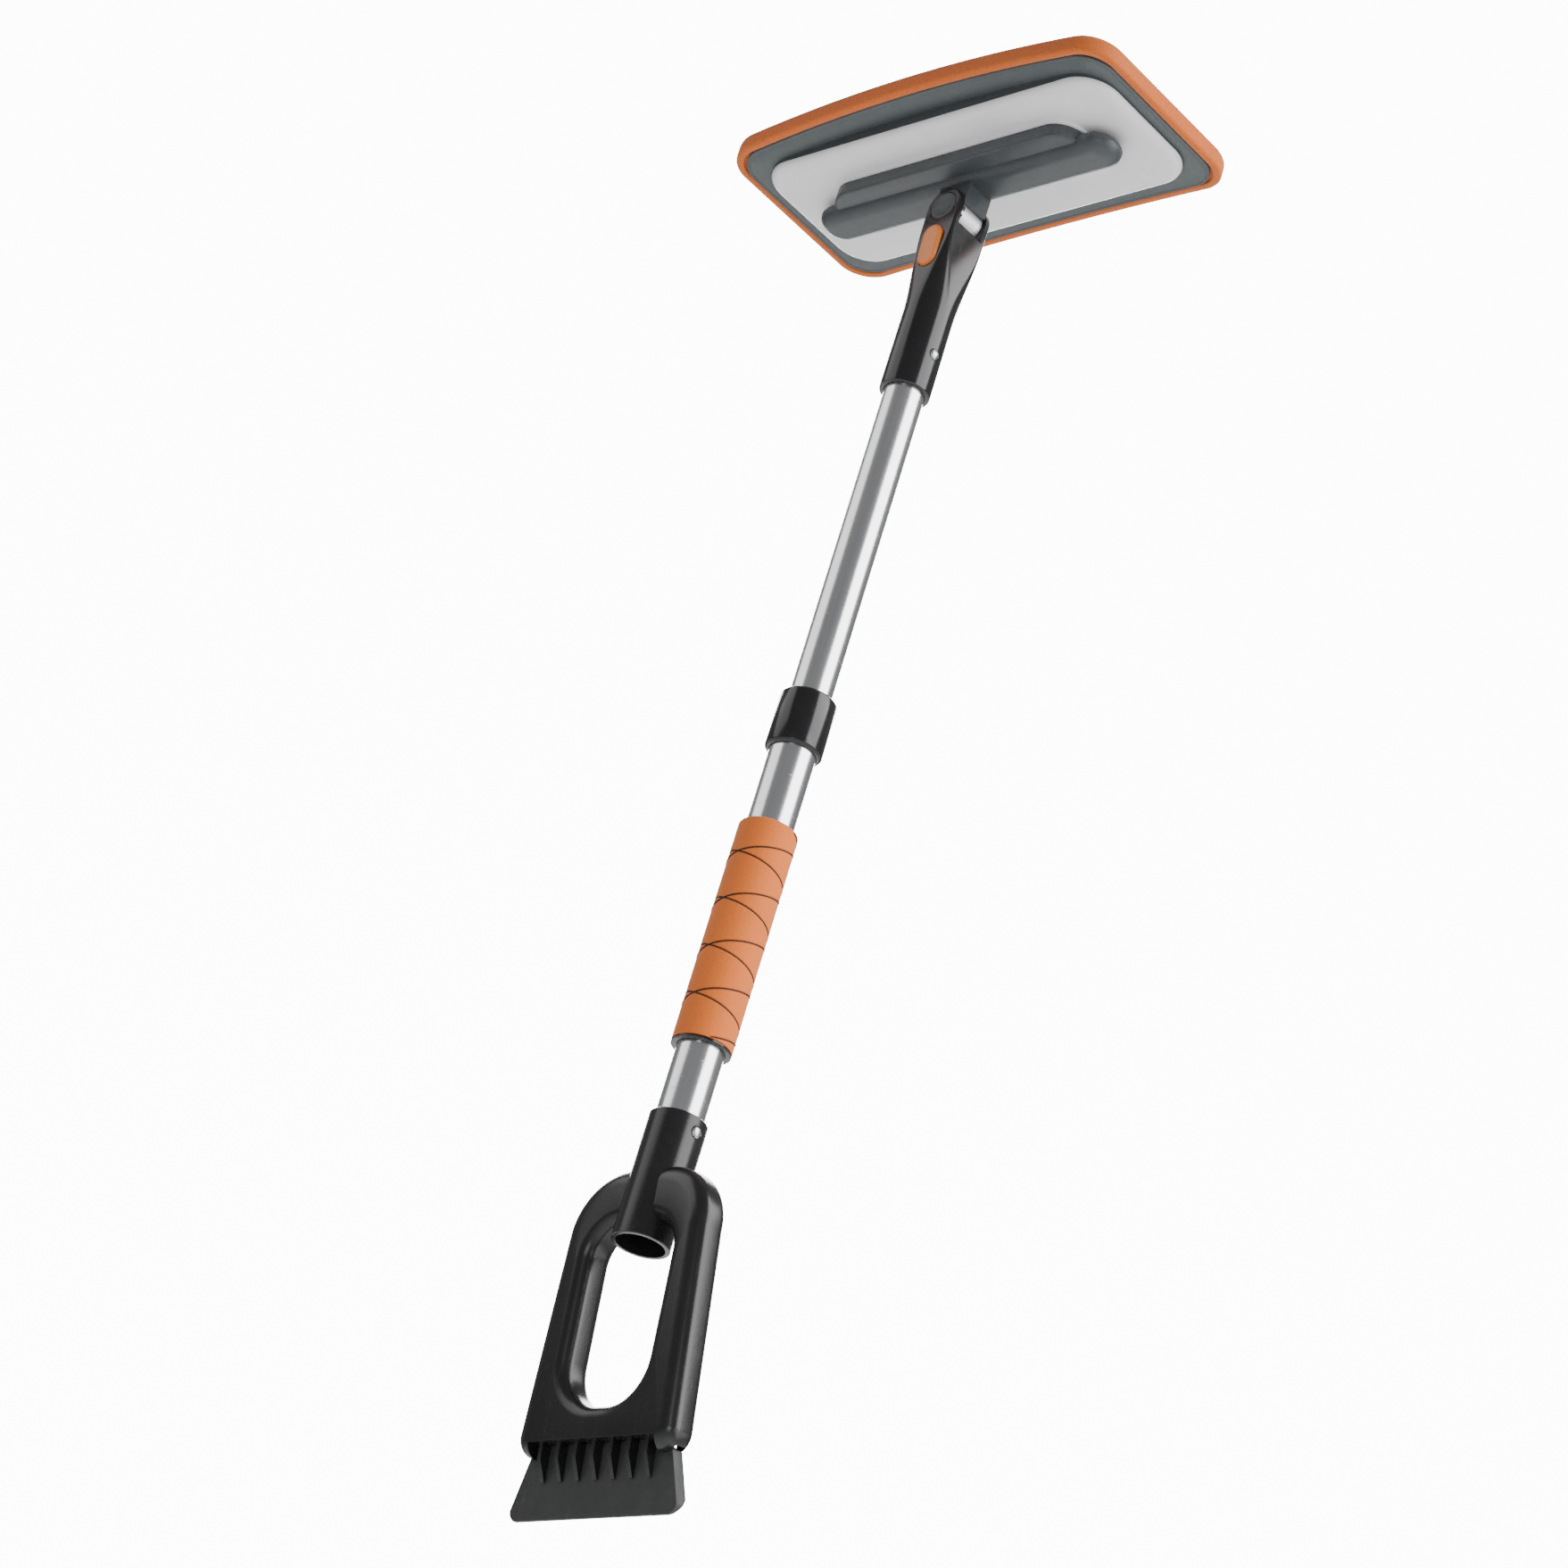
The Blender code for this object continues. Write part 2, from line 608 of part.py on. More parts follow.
def button_pocket(pole):
    # A mouth for the button, a wider pocket for its flange and a channel up to the fork's slot.
    land = -FORK_HALF_Y + BUTTON_LAND
    mouth_start = -NECK_RADIUS - OVERSIZE
    mouth = prism("pocket_mouth", button_outline(GAP), mouth_start, land + GAP, pole, None, "Y")
    wide = button_outline(BUTTON_FLANGE + GAP)
    pocket = prism("pocket_wide", wide, land, -POCKET_FLOOR, pole, None, "Y")
    low = (-PAWL_HALF_WIDTH - GAP, -SLOT_HALF_WIDTH - GAP, PIVOT - BUTTON_BELOW_PIVOT)
    high = (PAWL_HALF_WIDTH + GAP, -POCKET_FLOOR - GAP, PIVOT - SLOT_BELOW_PIVOT + OVERSIZE)
    channel = block("pocket_channel", low, high, pole)
    return mouth, pocket, channel


def make_pivot(pole):
    # The pin sits below the caps, which lie in the ears' recesses.
    length = FORK_HALF_Y - CAP_THICK - GAP
    centre = (0, 0, PIVOT)
    rod("pivot_pin", PIN_RADIUS, -length, length, pole, STEEL, "Y", centre)
    inside = FORK_HALF_Y - CAP_THICK + GAP
    outside = FORK_HALF_Y + CAP_PROUD
    edge = CAP_PROUD * 2
    for name, side in (("pivot_cap_near", -1), ("pivot_cap_far", 1)):
        profile = [
            (0, side * inside),
            (CAP_RADIUS, side * inside),
            (CAP_RADIUS, side * (outside - edge)),
            (CAP_RADIUS - edge, side * outside),
            (0, side * outside),
        ]
        turned(name, profile, pole, BLACK_GLOSS, "Y", centre)


def make_lock(frame, pole):
    # The button, its pawl and its return spring, drawn about the button's own centre at the neck's face.
    face = -FORK_HALF_Y - BUTTON_PROUD
    land = -FORK_HALF_Y + BUTTON_LAND + GAP
    back = -SLOT_HALF_WIDTH
    rows = ((-BUTTON_PROUD * 0.55, face), (-BUTTON_PROUD * 0.2, face + BUTTON_PROUD * 0.2))
    rows += ((0, face + BUTTON_PROUD * 0.6), (0, land))
    rows += ((BUTTON_FLANGE, land), (BUTTON_FLANGE, back))
    loops = []
    for grow, level in rows:
        outline = button_outline(grow)
        loops.append([on_axis("Y", height - frame.location.z, x, level) for height, x in outline])
    loft("lock_button", loops, frame, ORANGE_PLASTIC)
    start = back + GAP
    base = PIVOT - BUTTON_BELOW_PIVOT - 0.002 - frame.location.z
    tip = PIVOT - DRUM_RADIUS - PAWL_CLEARANCE - frame.location.z
    step = PIVOT - SLOT_BELOW_PIVOT + GAP - frame.location.z
    hook = start + PAWL_REACH
    outline = [(start, base), (start + PAWL_THICK, base), (start + PAWL_THICK, step), (hook, step)]
    outline += [(hook, tip), (start, tip)]
    loops = [[(x, y, z) for y, z in outline] for x in (-PAWL_HALF_WIDTH, PAWL_HALF_WIDTH)]
    loft("lock_pawl", loops, frame, STEEL)
    height = PIVOT - BUTTON_BELOW_PIVOT - 0.0070
    lead = SPRING_WIRE_RADIUS + GAP
    coil("lock_spring", (0, height), back + lead, -POCKET_FLOOR - lead, pole)


def coil(name, centre, start, end, parent):
    # A helix about Y, its wire a hexagon, with plain cut ends.
    steps = SPRING_TURNS * 12
    loops = []
    for step in range(steps + 1):
        turn = 2 * math.pi * SPRING_TURNS * step / steps
        y = start + (end - start) * step / steps
        loop = []
        for corner in range(6):
            angle = corner * math.pi / 3
            reach = SPRING_COIL_RADIUS + SPRING_WIRE_RADIUS * math.cos(angle)
            x = centre[0] + reach * math.cos(turn)
            z = centre[1] + reach * math.sin(turn)
            loop.append((x, y + SPRING_WIRE_RADIUS * math.sin(angle), z))
        loops.append(loop)
    loft(name, loops, parent, STEEL)


def screw_holes(name, radius, start, end, parent):
    holes = []
    for place in screw_places():
        holes.append(rod(name, radius, start, end, parent, None, "Z", place, SMALL_SEGMENTS))
    return holes


def make_head(head):
    plate_front = PLATE_ABOVE_PIVOT + PLATE_THICK
    rows = [
        (0.0090, PLATE_ABOVE_PIVOT, 0),
        (0.0040, PLATE_ABOVE_PIVOT + 0.0003, 0),
        (0.0015, PLATE_ABOVE_PIVOT + 0.0012, 0),
        (0.0, plate_front - 0.0010, 0),
        (0.0, plate_front, 0),
    ]
    plate_size = (PLATE_HALF_X, PLATE_HALF_Y, PLATE_CORNER)
    plate = head_layer("back_plate", rows, *plate_size, 0.0, head, SILVER_PLASTIC)
    half_x = BRACKET_HALF_X + PLINTH_MARGIN
    half_y = BRACKET_HALF_Y + PLINTH_MARGIN
    plinth = box_outline(half_x, half_y, BRACKET_CORNER + PLINTH_MARGIN)
    inside = PLATE_ABOVE_PIVOT + PLATE_THICK / 2
    join(plate, prism("plate_plinth", plinth, PLATE_ABOVE_PIVOT - PLINTH_HEIGHT, inside, head))
    shank = SCREW_RADIUS + GAP
    cut(plate, *screw_holes("plate_hole", shank, 0.0, plate_front + OVERSIZE, head))

    seat = plate_front + GAP
    rim = seat + BACKING_STEP
    back = rim + BACKING_RIM
    size = (BACKING_HALF_X, BACKING_HALF_Y, BACKING_CORNER)
    backing = head_layer("foam_backing", [(0, rim, 1), (0, back, 1)], *size, HEAD_BOW, head, GREY_PLASTIC)
    rows = [(0, seat, 0), (0, back - BACKING_RIM / 2, 1)]
    join(backing, head_layer("backing_seat", rows, *plate_size, 0.0, head))
    well = back + HEAD_ARCH * 0.6 - SCREW_HEAD_THICK
    cut(backing, *screw_holes("backing_hole", shank, 0.0, back + HEAD_ARCH + OVERSIZE, head))
    wide = SCREW_HEAD_RADIUS + GAP
    cut(backing, *screw_holes("backing_well", wide, well, back + HEAD_ARCH + OVERSIZE, head))

    size = (BACKING_HALF_X + FOAM_LIP, BACKING_HALF_Y + FOAM_LIP, BACKING_CORNER + FOAM_LIP / 3)
    pocket = FOAM_LIP - GAP
    wall = back + FOAM_SIDE
    rows = [
        (pocket, back + GAP, 1),
        (pocket, rim + 0.0008, 1),
        (0.0012, rim + 0.0006, 1),
        (0.0, rim + 0.0018, 1),
        (0.0, wall, 1),
        (0.0030, wall + FOAM_CROWN * 0.42, 1),
        (0.0090, wall + FOAM_CROWN * 0.80, 1),
        (0.0180, wall + FOAM_CROWN, 1),
    ]
    head_layer("foam_pad", rows, *size, HEAD_BOW, head, ORANGE_FOAM)
    make_bracket(head)
    make_drum(head)
    make_bracket_screws(well, head)


def make_bracket(head):
    # A base on the plate, a longer half-round ridge on the base and a knuckle block that enters the fork.
    seat = PLATE_ABOVE_PIVOT - PLINTH_HEIGHT - GAP
    shoulder = PLATE_ABOVE_PIVOT - GAP - BRACKET_HEIGHT
    back_corner = (BRACKET_BACK_Y + BRACKET_HALF_Y) / 4
    loops = []
    for inset, height in ((0.0, seat), (0.0, shoulder + 0.0015), (0.0015, shoulder)):
        half_x = BRACKET_HALF_X - inset
        front = BRACKET_HALF_Y - inset
        outline = rounded(half_x, half_x, BRACKET_BACK_Y - inset, -front, back_corner, BRACKET_CORNER - inset)
        loops.append([(x, y, height) for x, y in outline])
    bracket = loft("pivot_bracket", loops, head, DARK_PLASTIC)
    widest = PLATE_ABOVE_PIVOT - GAP - RIDGE_WIDEST
    crown = PLATE_ABOVE_PIVOT - GAP - RIDGE_HEIGHT
    depth = widest - crown
    loops = []
    rows = ((0.0016, widest + 0.0026), (0.0, widest), (0.0010, widest - 0.45 * depth))
    rows += ((0.0036, widest - 0.78 * depth), (0.0080, crown))
    for inset, height in rows:
        outline = box_outline(RIDGE_HALF_X - inset, RIDGE_HALF_Y - inset, RIDGE_HALF_Y - inset)
        loops.append([(x, y, height) for x, y in outline])
    ridge = loft("bracket_ridge", loops, head)
    half_y = SLOT_HALF_WIDTH - GAP
    low = (-KNUCKLE_HALF_X, -half_y, KNUCKLE_BOTTOM)
    knuckle = block("bracket_knuckle", low, (KNUCKLE_HALF_X, half_y, crown + 0.0035), head)
    join(bracket, ridge, knuckle)
    reach = RIDGE_HALF_Y + OVERSIZE
    saddle = rod("bracket_saddle", DRUM_RADIUS + GAP, -reach, reach, head, None, "Y")
    low = (-DRUM_KEY_HALF - GAP, -reach, 0.0)
    high = (DRUM_KEY_HALF + GAP, reach, DRUM_KEY_HEIGHT + GAP)
    key = block("bracket_key_slot", low, high, head)
    cut(bracket, saddle, key)
    pilot = seat - SCREW_BITE - GAP
    cut(bracket, *screw_holes("bracket_hole", SCREW_RADIUS + GAP, pilot, seat + OVERSIZE, head))


def make_drum(head):
    # The drum turns with the head on the pin. Its near end has notches for the pawl.
    half_y = SLOT_HALF_WIDTH - GAP
    drum = rod("index_drum", DRUM_RADIUS, -half_y, half_y, head, ZINC, "Y")
    low = (-DRUM_KEY_HALF, -half_y, 0.0)
    key = block("drum_key", low, (DRUM_KEY_HALF, half_y, DRUM_KEY_HEIGHT), head)
    join(drum, key)
    reach = half_y + OVERSIZE
    cut(drum, rod("drum_bore", PIN_RADIUS + RUNNING, -reach, reach, head, None, "Y"))
    spacing = 2 * math.pi / DRUM_NOTCHES
    for index in range(DRUM_NOTCHES // 2 + 1):
        angle = math.pi + index * spacing
        outline = []
        corners = ((-DRUM_NOTCH_HALF, -DRUM_NOTCH_DEPTH), (DRUM_NOTCH_HALF, -DRUM_NOTCH_DEPTH))
        corners += ((DRUM_NOTCH_HALF * 1.6, 0.002), (-DRUM_NOTCH_HALF * 1.6, 0.002))
        for across, out in corners:
            x = (DRUM_RADIUS + out) * math.cos(angle) - across * math.sin(angle)
            z = (DRUM_RADIUS + out) * math.sin(angle) + across * math.cos(angle)
            outline.append((z, x))
        notch_end = -half_y + PAWL_REACH
        cut(drum, prism("drum_notch", outline, -half_y - OVERSIZE, notch_end, head, None, "Y"))


def make_bracket_screws(well, head):
    # Four screws from the foam side, their heads in the backing and their ends in the bracket.
    top = well + GAP + SCREW_HEAD_THICK
    end = PLATE_ABOVE_PIVOT - PLINTH_HEIGHT - GAP - SCREW_BITE
    seat = well + GAP
    profile = [(0, end), (SCREW_RADIUS, end), (SCREW_RADIUS, seat), (SCREW_HEAD_RADIUS, seat)]
    profile += [(SCREW_HEAD_RADIUS, top), (0, top)]
    screws("bracket_screw", profile, screw_places(), head, "Z")


def screw_places():
    places = []
    for x in (-SCREW_SPACING_X / 2, SCREW_SPACING_X / 2):
        for y in (-SCREW_SPACING_Y / 2, SCREW_SPACING_Y / 2):
            places.append((x, y, 0))
    return places


def screws(name, profile, places, parent, axis):
    # A row of identical turned screws, numbered from 1.
    for index, place in enumerate(places, 1):
        turned(f"{name}_{index}", profile, parent, STEEL, axis, place, 12)


def ring_loops(inset_outer, inset_inner, depth):
    # The ring's outer and opening outlines at one depth, each moved in by its edge rounding. The ring
    # bends back towards its top, so that the pole's socket stands in front of it.
    grow = inset_inner
    outer = rounded(
        RING_HALF_TOP - inset_outer,
        RING_HALF_BOTTOM - inset_outer,
        RING_TOP - inset_outer,
        RING_BOTTOM + inset_outer,
        RING_CORNER_TOP - inset_outer,
        RING_CORNER_BOTTOM - inset_outer,
    )
    inner = rounded(
        OPENING_HALF_TOP + grow,
        OPENING_HALF_BOTTOM + grow,
        OPENING_TOP + grow,
        OPENING_BOTTOM - grow,
        OPENING_CORNER_TOP + grow,
        OPENING_CORNER_BOTTOM + grow,
    )
    return [[(x, depth + ring_bend(height), height) for x, height in outline] for outline in (outer, inner)]


def ring_bend(height):
    share = max(0.0, height - OPENING_BOTTOM) / (RING_TOP - OPENING_BOTTOM)
    return RING_BEND * share * share


def make_scraper_body(handle, ring):
    # Layers from front to back, with quarter-round edges on the outside and round the opening.
    layers = []
    for side, face in ((-1, RING_FRONT), (1, RING_BACK)):
        quarter = []
        for step in range(4):
            angle = step / 3 * math.pi / 2
            outer = RING_OUTER_ROUND * (1 - math.cos(angle))
            inner = RING_INNER_ROUND * (1 - math.cos(angle))
            depth = face - RING_EDGE_DEPTH * (1 - math.sin(angle))
            quarter.append((outer, inner, side * depth))
        layers += quarter[::-1] if side < 0 else quarter
    outers = []
    inners = []
    for outer, inner, depth in layers:
        loop, hole = ring_loops(outer, inner, depth)
        outers.append(loop)
        inners.append(hole)
    count = len(outers[0])
    points = [point for loop in outers + inners for point in loop]
    shift = len(outers) * count
    faces = []
    for step in range(count):
        after = (step + 1) % count
        for level in range(len(outers) - 1):
            base = level * count
            face = (base + step, base + after, base + count + after, base + count + step)
            faces.append(face)
            faces.append(tuple(corner + shift for corner in face))
        last = (len(outers) - 1) * count
        for base in (0, last):
            faces.append((base + step, base + after, base + shift + after, base + shift + step))
    body = solid("scraper_body", points, faces, ring, BLACK_GLOSS)
    low = (-BLADE_HALF_NECK - LIMB_END_WIDTH / 3, -RING_FRONT - OVERSIZE, RING_BOTTOM - OVERSIZE)
    high = (BLADE_HALF_NECK + LIMB_END_WIDTH / 3, RING_BACK + OVERSIZE, BAR_BOTTOM)
    cut(body, block("ring_relief", low, high, ring))
    socket = rod("scraper_socket", SOCKET_RADIUS, SOCKET_END, SOCKET_TOP, handle)
    teeth = [make_tooth(index, ring) for index in range(TEETH)]
    join(body, socket, *teeth)
    bore_radius = OUTER_TUBE_RADIUS + SLIDE
    end = SOCKET_END - OVERSIZE
    bore = rod("socket_bore", bore_radius, end, SOCKET_TOP + OVERSIZE, handle)
    cut(body, bore, snap_hole("socket_snap_hole", LOWER_SNAP, handle))
    half = BLADE_THICK / 2 + GAP
    low = (-RING_HALF_BOTTOM + LIMB_END_WIDTH / 3, -half, BLADE_BOTTOM)
    high = (RING_HALF_BOTTOM - LIMB_END_WIDTH / 3, half, BLADE_TOP + GAP)
    cut(body, block("blade_slot", low, high, ring))
    height = (BLADE_TOP + BAR_BOTTOM) / 2
    for x in BLADE_SCREWS:
        centre = (x, 0, height)
        hole = SCREW_RADIUS + GAP
        reach = RING_BACK + OVERSIZE
        shank = rod("body_shank", hole, -half - SCREW_BITE - GAP, reach, ring, None, "Y", centre, 12)
        wide = SCREW_HEAD_RADIUS + GAP
        start = RING_BACK - BLADE_SCREW_RECESS
        head = rod("body_counterbore", wide, start, reach, ring, None, "Y", centre, 12)
        cut(body, shank, head)


def make_tooth(index, ring):
    # An ice-breaker fin in front of the blade. Its front edge slopes back to the blade at its lower end.
    x = (index - (TEETH - 1) / 2) * TOOTH_PITCH
    front = -RING_FRONT + TOOTH_BEHIND_FRONT
    back = -BLADE_THICK / 2
    top = (OPENING_BOTTOM + BAR_BOTTOM) / 2
    outline = [(front, top), (back, top), (back, TOOTH_BOTTOM)]
    outline += [(-BLADE_THICK / 2 - 0.0010, TOOTH_BOTTOM), (front, BAR_BOTTOM - TOOTH_FRONT_HEIGHT)]
    loops = []
    for side in (-TOOTH_THICK / 2, TOOTH_THICK / 2):
        loops.append([(x + side, y, z) for y, z in outline])
    return loft("tooth", loops, ring)


def make_blade(ring):
    # A slab with a narrow tongue in the body's slot, flared below, and bevelled behind its edge.
    outline = [(BLADE_HALF_NECK, BLADE_TOP), (-BLADE_HALF_NECK, BLADE_TOP)]
    outline += [(-BLADE_HALF_NECK, BLADE_NECK), (-BLADE_HALF_SHOULDER, BLADE_NECK - 0.004)]
    corner = rounded(
        BLADE_HALF_SHOULDER,
        BLADE_HALF_BOTTOM,
        BLADE_NECK,
        BLADE_BOTTOM,
        BLADE_CORNER,
        BLADE_CORNER,
    )
    outline += corner[2 * (CORNER_STEPS + 1):]
    outline += [(BLADE_HALF_SHOULDER, BLADE_NECK - 0.004), (BLADE_HALF_NECK, BLADE_NECK)]
    half = BLADE_THICK / 2
    loops = [[(x, y, z) for x, z in outline] for y in (-half, half)]
    blade = loft("blade", loops, ring, GREY_PLASTIC)
    reach = BLADE_HALF_BOTTOM + OVERSIZE
    slope = (BLADE_THICK - BLADE_EDGE_THICK) / BLADE_BEVEL
    far = half + OVERSIZE * slope
    edge = -half + BLADE_EDGE_THICK - OVERSIZE * slope
    wedge = [(far, BLADE_BOTTOM + BLADE_BEVEL + OVERSIZE), (edge, BLADE_BOTTOM - OVERSIZE)]
    wedge += [(far, BLADE_BOTTOM - OVERSIZE)]
    loops = [[(x, y, z) for y, z in wedge] for x in (-reach, reach)]
    cut(blade, loft("blade_bevel", loops, ring))
    height = (BLADE_TOP + BAR_BOTTOM) / 2
    for x in BLADE_SCREWS:
        hole = SCREW_RADIUS + GAP
        cut(blade, rod("blade_hole", hole, -0.02, 0.02, ring, None, "Y", (x, 0, height), 12))
    seat = RING_BACK - BLADE_SCREW_RECESS + GAP
    end = -half - SCREW_BITE
    profile = [(0, end), (SCREW_RADIUS, end), (SCREW_RADIUS, seat), (SCREW_HEAD_RADIUS, seat)]
    profile += [(SCREW_HEAD_RADIUS, seat + SCREW_HEAD_THICK), (0, seat + SCREW_HEAD_THICK)]
    screws("blade_screw", profile, [(x, 0, height) for x in BLADE_SCREWS], ring, "Y")


def build():
    clear_scene()
    handle = empty("handle_frame", (0, 0, 0))
    pole = empty("pole_frame", (0, 0, 0), handle)
    collar = empty("collar_frame", (0, 0, COLLAR_TOP), handle)
    head = empty("head_frame", (0, 0, PIVOT), pole)
    lock = empty("lock_frame", (0, 0, PIVOT - BUTTON_BELOW_PIVOT), pole)
    upper = empty("upper_snap_frame", (0, 0, UPPER_SNAP), pole)
    lower = empty("lower_snap_frame", (0, 0, LOWER_SNAP), handle)
    ring = empty("ring_frame", (0, 0, RING_CENTRE), handle, RING_TILT)
    make_tubes(handle, pole)
    make_inner_bush(pole)
    make_grip(handle)
    make_collar(collar, handle)
    make_neck(pole)
    make_pivot(pole)
    make_lock(lock, pole)
    make_snap("upper_snap", INNER_TUBE_RADIUS - INNER_TUBE_WALL, NECK_RADIUS, UPPER_SNAP, 1, pole, upper)
    bore = OUTER_TUBE_RADIUS - OUTER_TUBE_WALL
    make_snap("lower_snap", bore, SOCKET_RADIUS, LOWER_SNAP, -1, handle, lower)
    make_head(head)
    make_scraper_body(handle, ring)
    make_blade(ring)


build()
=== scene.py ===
import json
import math

import bmesh
import bpy
from mathutils import Matrix, Vector
from mathutils.noise import noise


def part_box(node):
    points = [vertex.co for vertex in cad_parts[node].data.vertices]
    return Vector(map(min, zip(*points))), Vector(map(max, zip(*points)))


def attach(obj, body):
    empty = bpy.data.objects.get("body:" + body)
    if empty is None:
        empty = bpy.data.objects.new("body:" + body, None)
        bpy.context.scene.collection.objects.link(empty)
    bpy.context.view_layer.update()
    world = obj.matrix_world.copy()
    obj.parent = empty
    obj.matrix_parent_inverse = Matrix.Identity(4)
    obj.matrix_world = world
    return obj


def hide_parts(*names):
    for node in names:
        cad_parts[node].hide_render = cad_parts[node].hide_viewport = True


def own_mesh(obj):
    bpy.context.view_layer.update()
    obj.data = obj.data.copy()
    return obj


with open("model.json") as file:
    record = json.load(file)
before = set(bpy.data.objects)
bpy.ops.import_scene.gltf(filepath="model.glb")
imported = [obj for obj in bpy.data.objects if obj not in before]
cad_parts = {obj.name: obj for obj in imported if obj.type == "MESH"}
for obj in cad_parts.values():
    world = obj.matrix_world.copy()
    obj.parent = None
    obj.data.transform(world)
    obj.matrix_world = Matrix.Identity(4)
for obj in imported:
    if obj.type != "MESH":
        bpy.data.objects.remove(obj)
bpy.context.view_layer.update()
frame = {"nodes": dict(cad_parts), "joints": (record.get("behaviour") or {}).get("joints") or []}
nodes = frame["nodes"]
pivot = next(j["pos_m"][2] for j in frame["joints"] if j["name"] == "head_tilt")
mm = 0.001
fitGap = 0.3 * mm
wide = 20 * mm
snap = {"radius": 3.1 * mm, "hole": 3.4 * mm, "flange": 4.2 * mm, "flangeThick": 0.8 * mm}
screw = {"shank": 1.6 * mm, "head": 3.1 * mm, "thick": 1.6 * mm, "thread": 0.7 * mm, "hole": 1.9 * mm,
    "well": 3.4 * mm, "root": 1.25 * mm}
screw["cross"] = ((1.5 * mm, 0.3 * mm), (0.3 * mm, 1.5 * mm))


# Shader building
class Val:
    def __init__(self, tree, socket):
        self.tree = tree
        self.socket = socket

    def calc(self, operation, first, second=None):
        node = self.tree.nodes.new("ShaderNodeMath")
        node.operation = operation
        for slot, value in enumerate((first, second)):
            if isinstance(value, Val):
                self.tree.links.new(value.socket, node.inputs[slot])
            elif value is not None:
                node.inputs[slot].default_value = value
        return Val(self.tree, node.outputs[0])

    def __add__(self, other):
        return self.calc("ADD", self, other)

    def __radd__(self, other):
        return self.calc("ADD", other, self)

    def __sub__(self, other):
        return self.calc("SUBTRACT", self, other)

    def __rsub__(self, other):
        return self.calc("SUBTRACT", other, self)

    def __mul__(self, other):
        return self.calc("MULTIPLY", self, other)

    def __rmul__(self, other):
        return self.calc("MULTIPLY", other, self)


class Look:
    def __init__(self, name):
        self.material = bpy.data.materials.new(name)
        self.material.use_nodes = True
        self.tree = self.material.node_tree
        self.shader = self.tree.nodes["Principled BSDF"]
        self.place = self.node("ShaderNodeTexCoord", output="Object")

    def node(self, kind, settings=None, inputs=None, output=0):
        made = self.tree.nodes.new(kind)
        for key, value in (settings or {}).items():
            setattr(made, key, value)
        for key, value in (inputs or {}).items():
            if isinstance(value, Val):
                self.tree.links.new(value.socket, made.inputs[key])
            else:
                made.inputs[key].default_value = value
        return Val(self.tree, made.outputs[output])

    def stretched(self, scale):
        return self.node("ShaderNodeMapping", {"vector_type": "POINT"},
            {"Vector": self.place, "Scale": scale})

    def noise(self, scale, detail=4.0, rough=0.55, where=None):
        inputs = {"Vector": where or self.place, "Scale": scale, "Detail": detail, "Roughness": rough}
        return self.node("ShaderNodeTexNoise", {}, inputs, "Fac")

    def cells(self, scale):
        return self.node("ShaderNodeTexVoronoi", {}, {"Vector": self.place, "Scale": scale}, "Distance")

    def ramp(self, value, low, high, outLow=0.0, outHigh=1.0):
        inputs = {"Value": value, "From Min": low, "From Max": high, "To Min": outLow, "To Max": outHigh}
        return self.node("ShaderNodeMapRange", {"clamp": True}, inputs, "Result")

    def mix(self, factor, first, second):
        made = self.tree.nodes.new("ShaderNodeMix")
        made.data_type = "RGBA"
        for key, value in (("Factor", factor), ("A", first), ("B", second)):
            socket = [s for s in made.inputs if s.name == key and s.enabled][0]
            if isinstance(value, Val):
                self.tree.links.new(value.socket, socket)
            else:
                socket.default_value = value if key == "Factor" else (*value, 1.0)
        return Val(self.tree, [s for s in made.outputs if s.enabled][0])

    def bump(self, height, distance, strength=1.0, below=None):
        inputs = {"Height": height, "Distance": distance, "Strength": strength}
        if below:
            inputs["Normal"] = below
        return self.node("ShaderNodeBump", {}, inputs, "Normal")

    def finish(self, **values):
        for key, value in values.items():
            socket = self.shader.inputs[key.replace("_", " ")]
            if isinstance(value, Val):
                self.tree.links.new(value.socket, socket)
            else:
                socket.default_value = (*value, 1.0) if isinstance(value, tuple) else value
        return self.material


def darker(colour, amount):
    return tuple(c * amount for c in colour)


def plasticLook(name, s):
    look = Look(name)
    cloud = look.noise(s["cloud"], 3.0)
    grain = look.noise(s["grain"], 5.0, 0.6)
    scuffs = look.ramp(look.noise(260.0, 6.0, 0.7, look.stretched((1.0, 1.0, 0.12))), 0.60, 0.74)
    dust = look.ramp(look.noise(45.0, 6.0, 0.75), 0.52, 0.80)
    base = look.mix(cloud, darker(s["colour"], 1 - s["vary"]), darker(s["colour"], 1 + s["vary"]))
    worn = look.mix(scuffs * s["scuff"], base, s["scuffColour"])
    dusty = look.mix(dust * s["dust"], worn, s["dustColour"])
    rough = s["rough"] + (cloud - 0.5) * s["roughVary"]
    rough = rough + scuffs * (s["scuff"] * 0.9) + dust * (s["dust"] * 0.8)
    normal = look.bump(grain, s["grainDepth"], 0.6)
    normal = look.bump(scuffs, 0.00003, 0.25, normal)
    return look.finish(Base_Color=dusty, Roughness=rough, Normal=normal, IOR=s.get("ior", 1.5),
        Coat_Weight=s["coat"], Coat_Roughness=s["coatRough"])


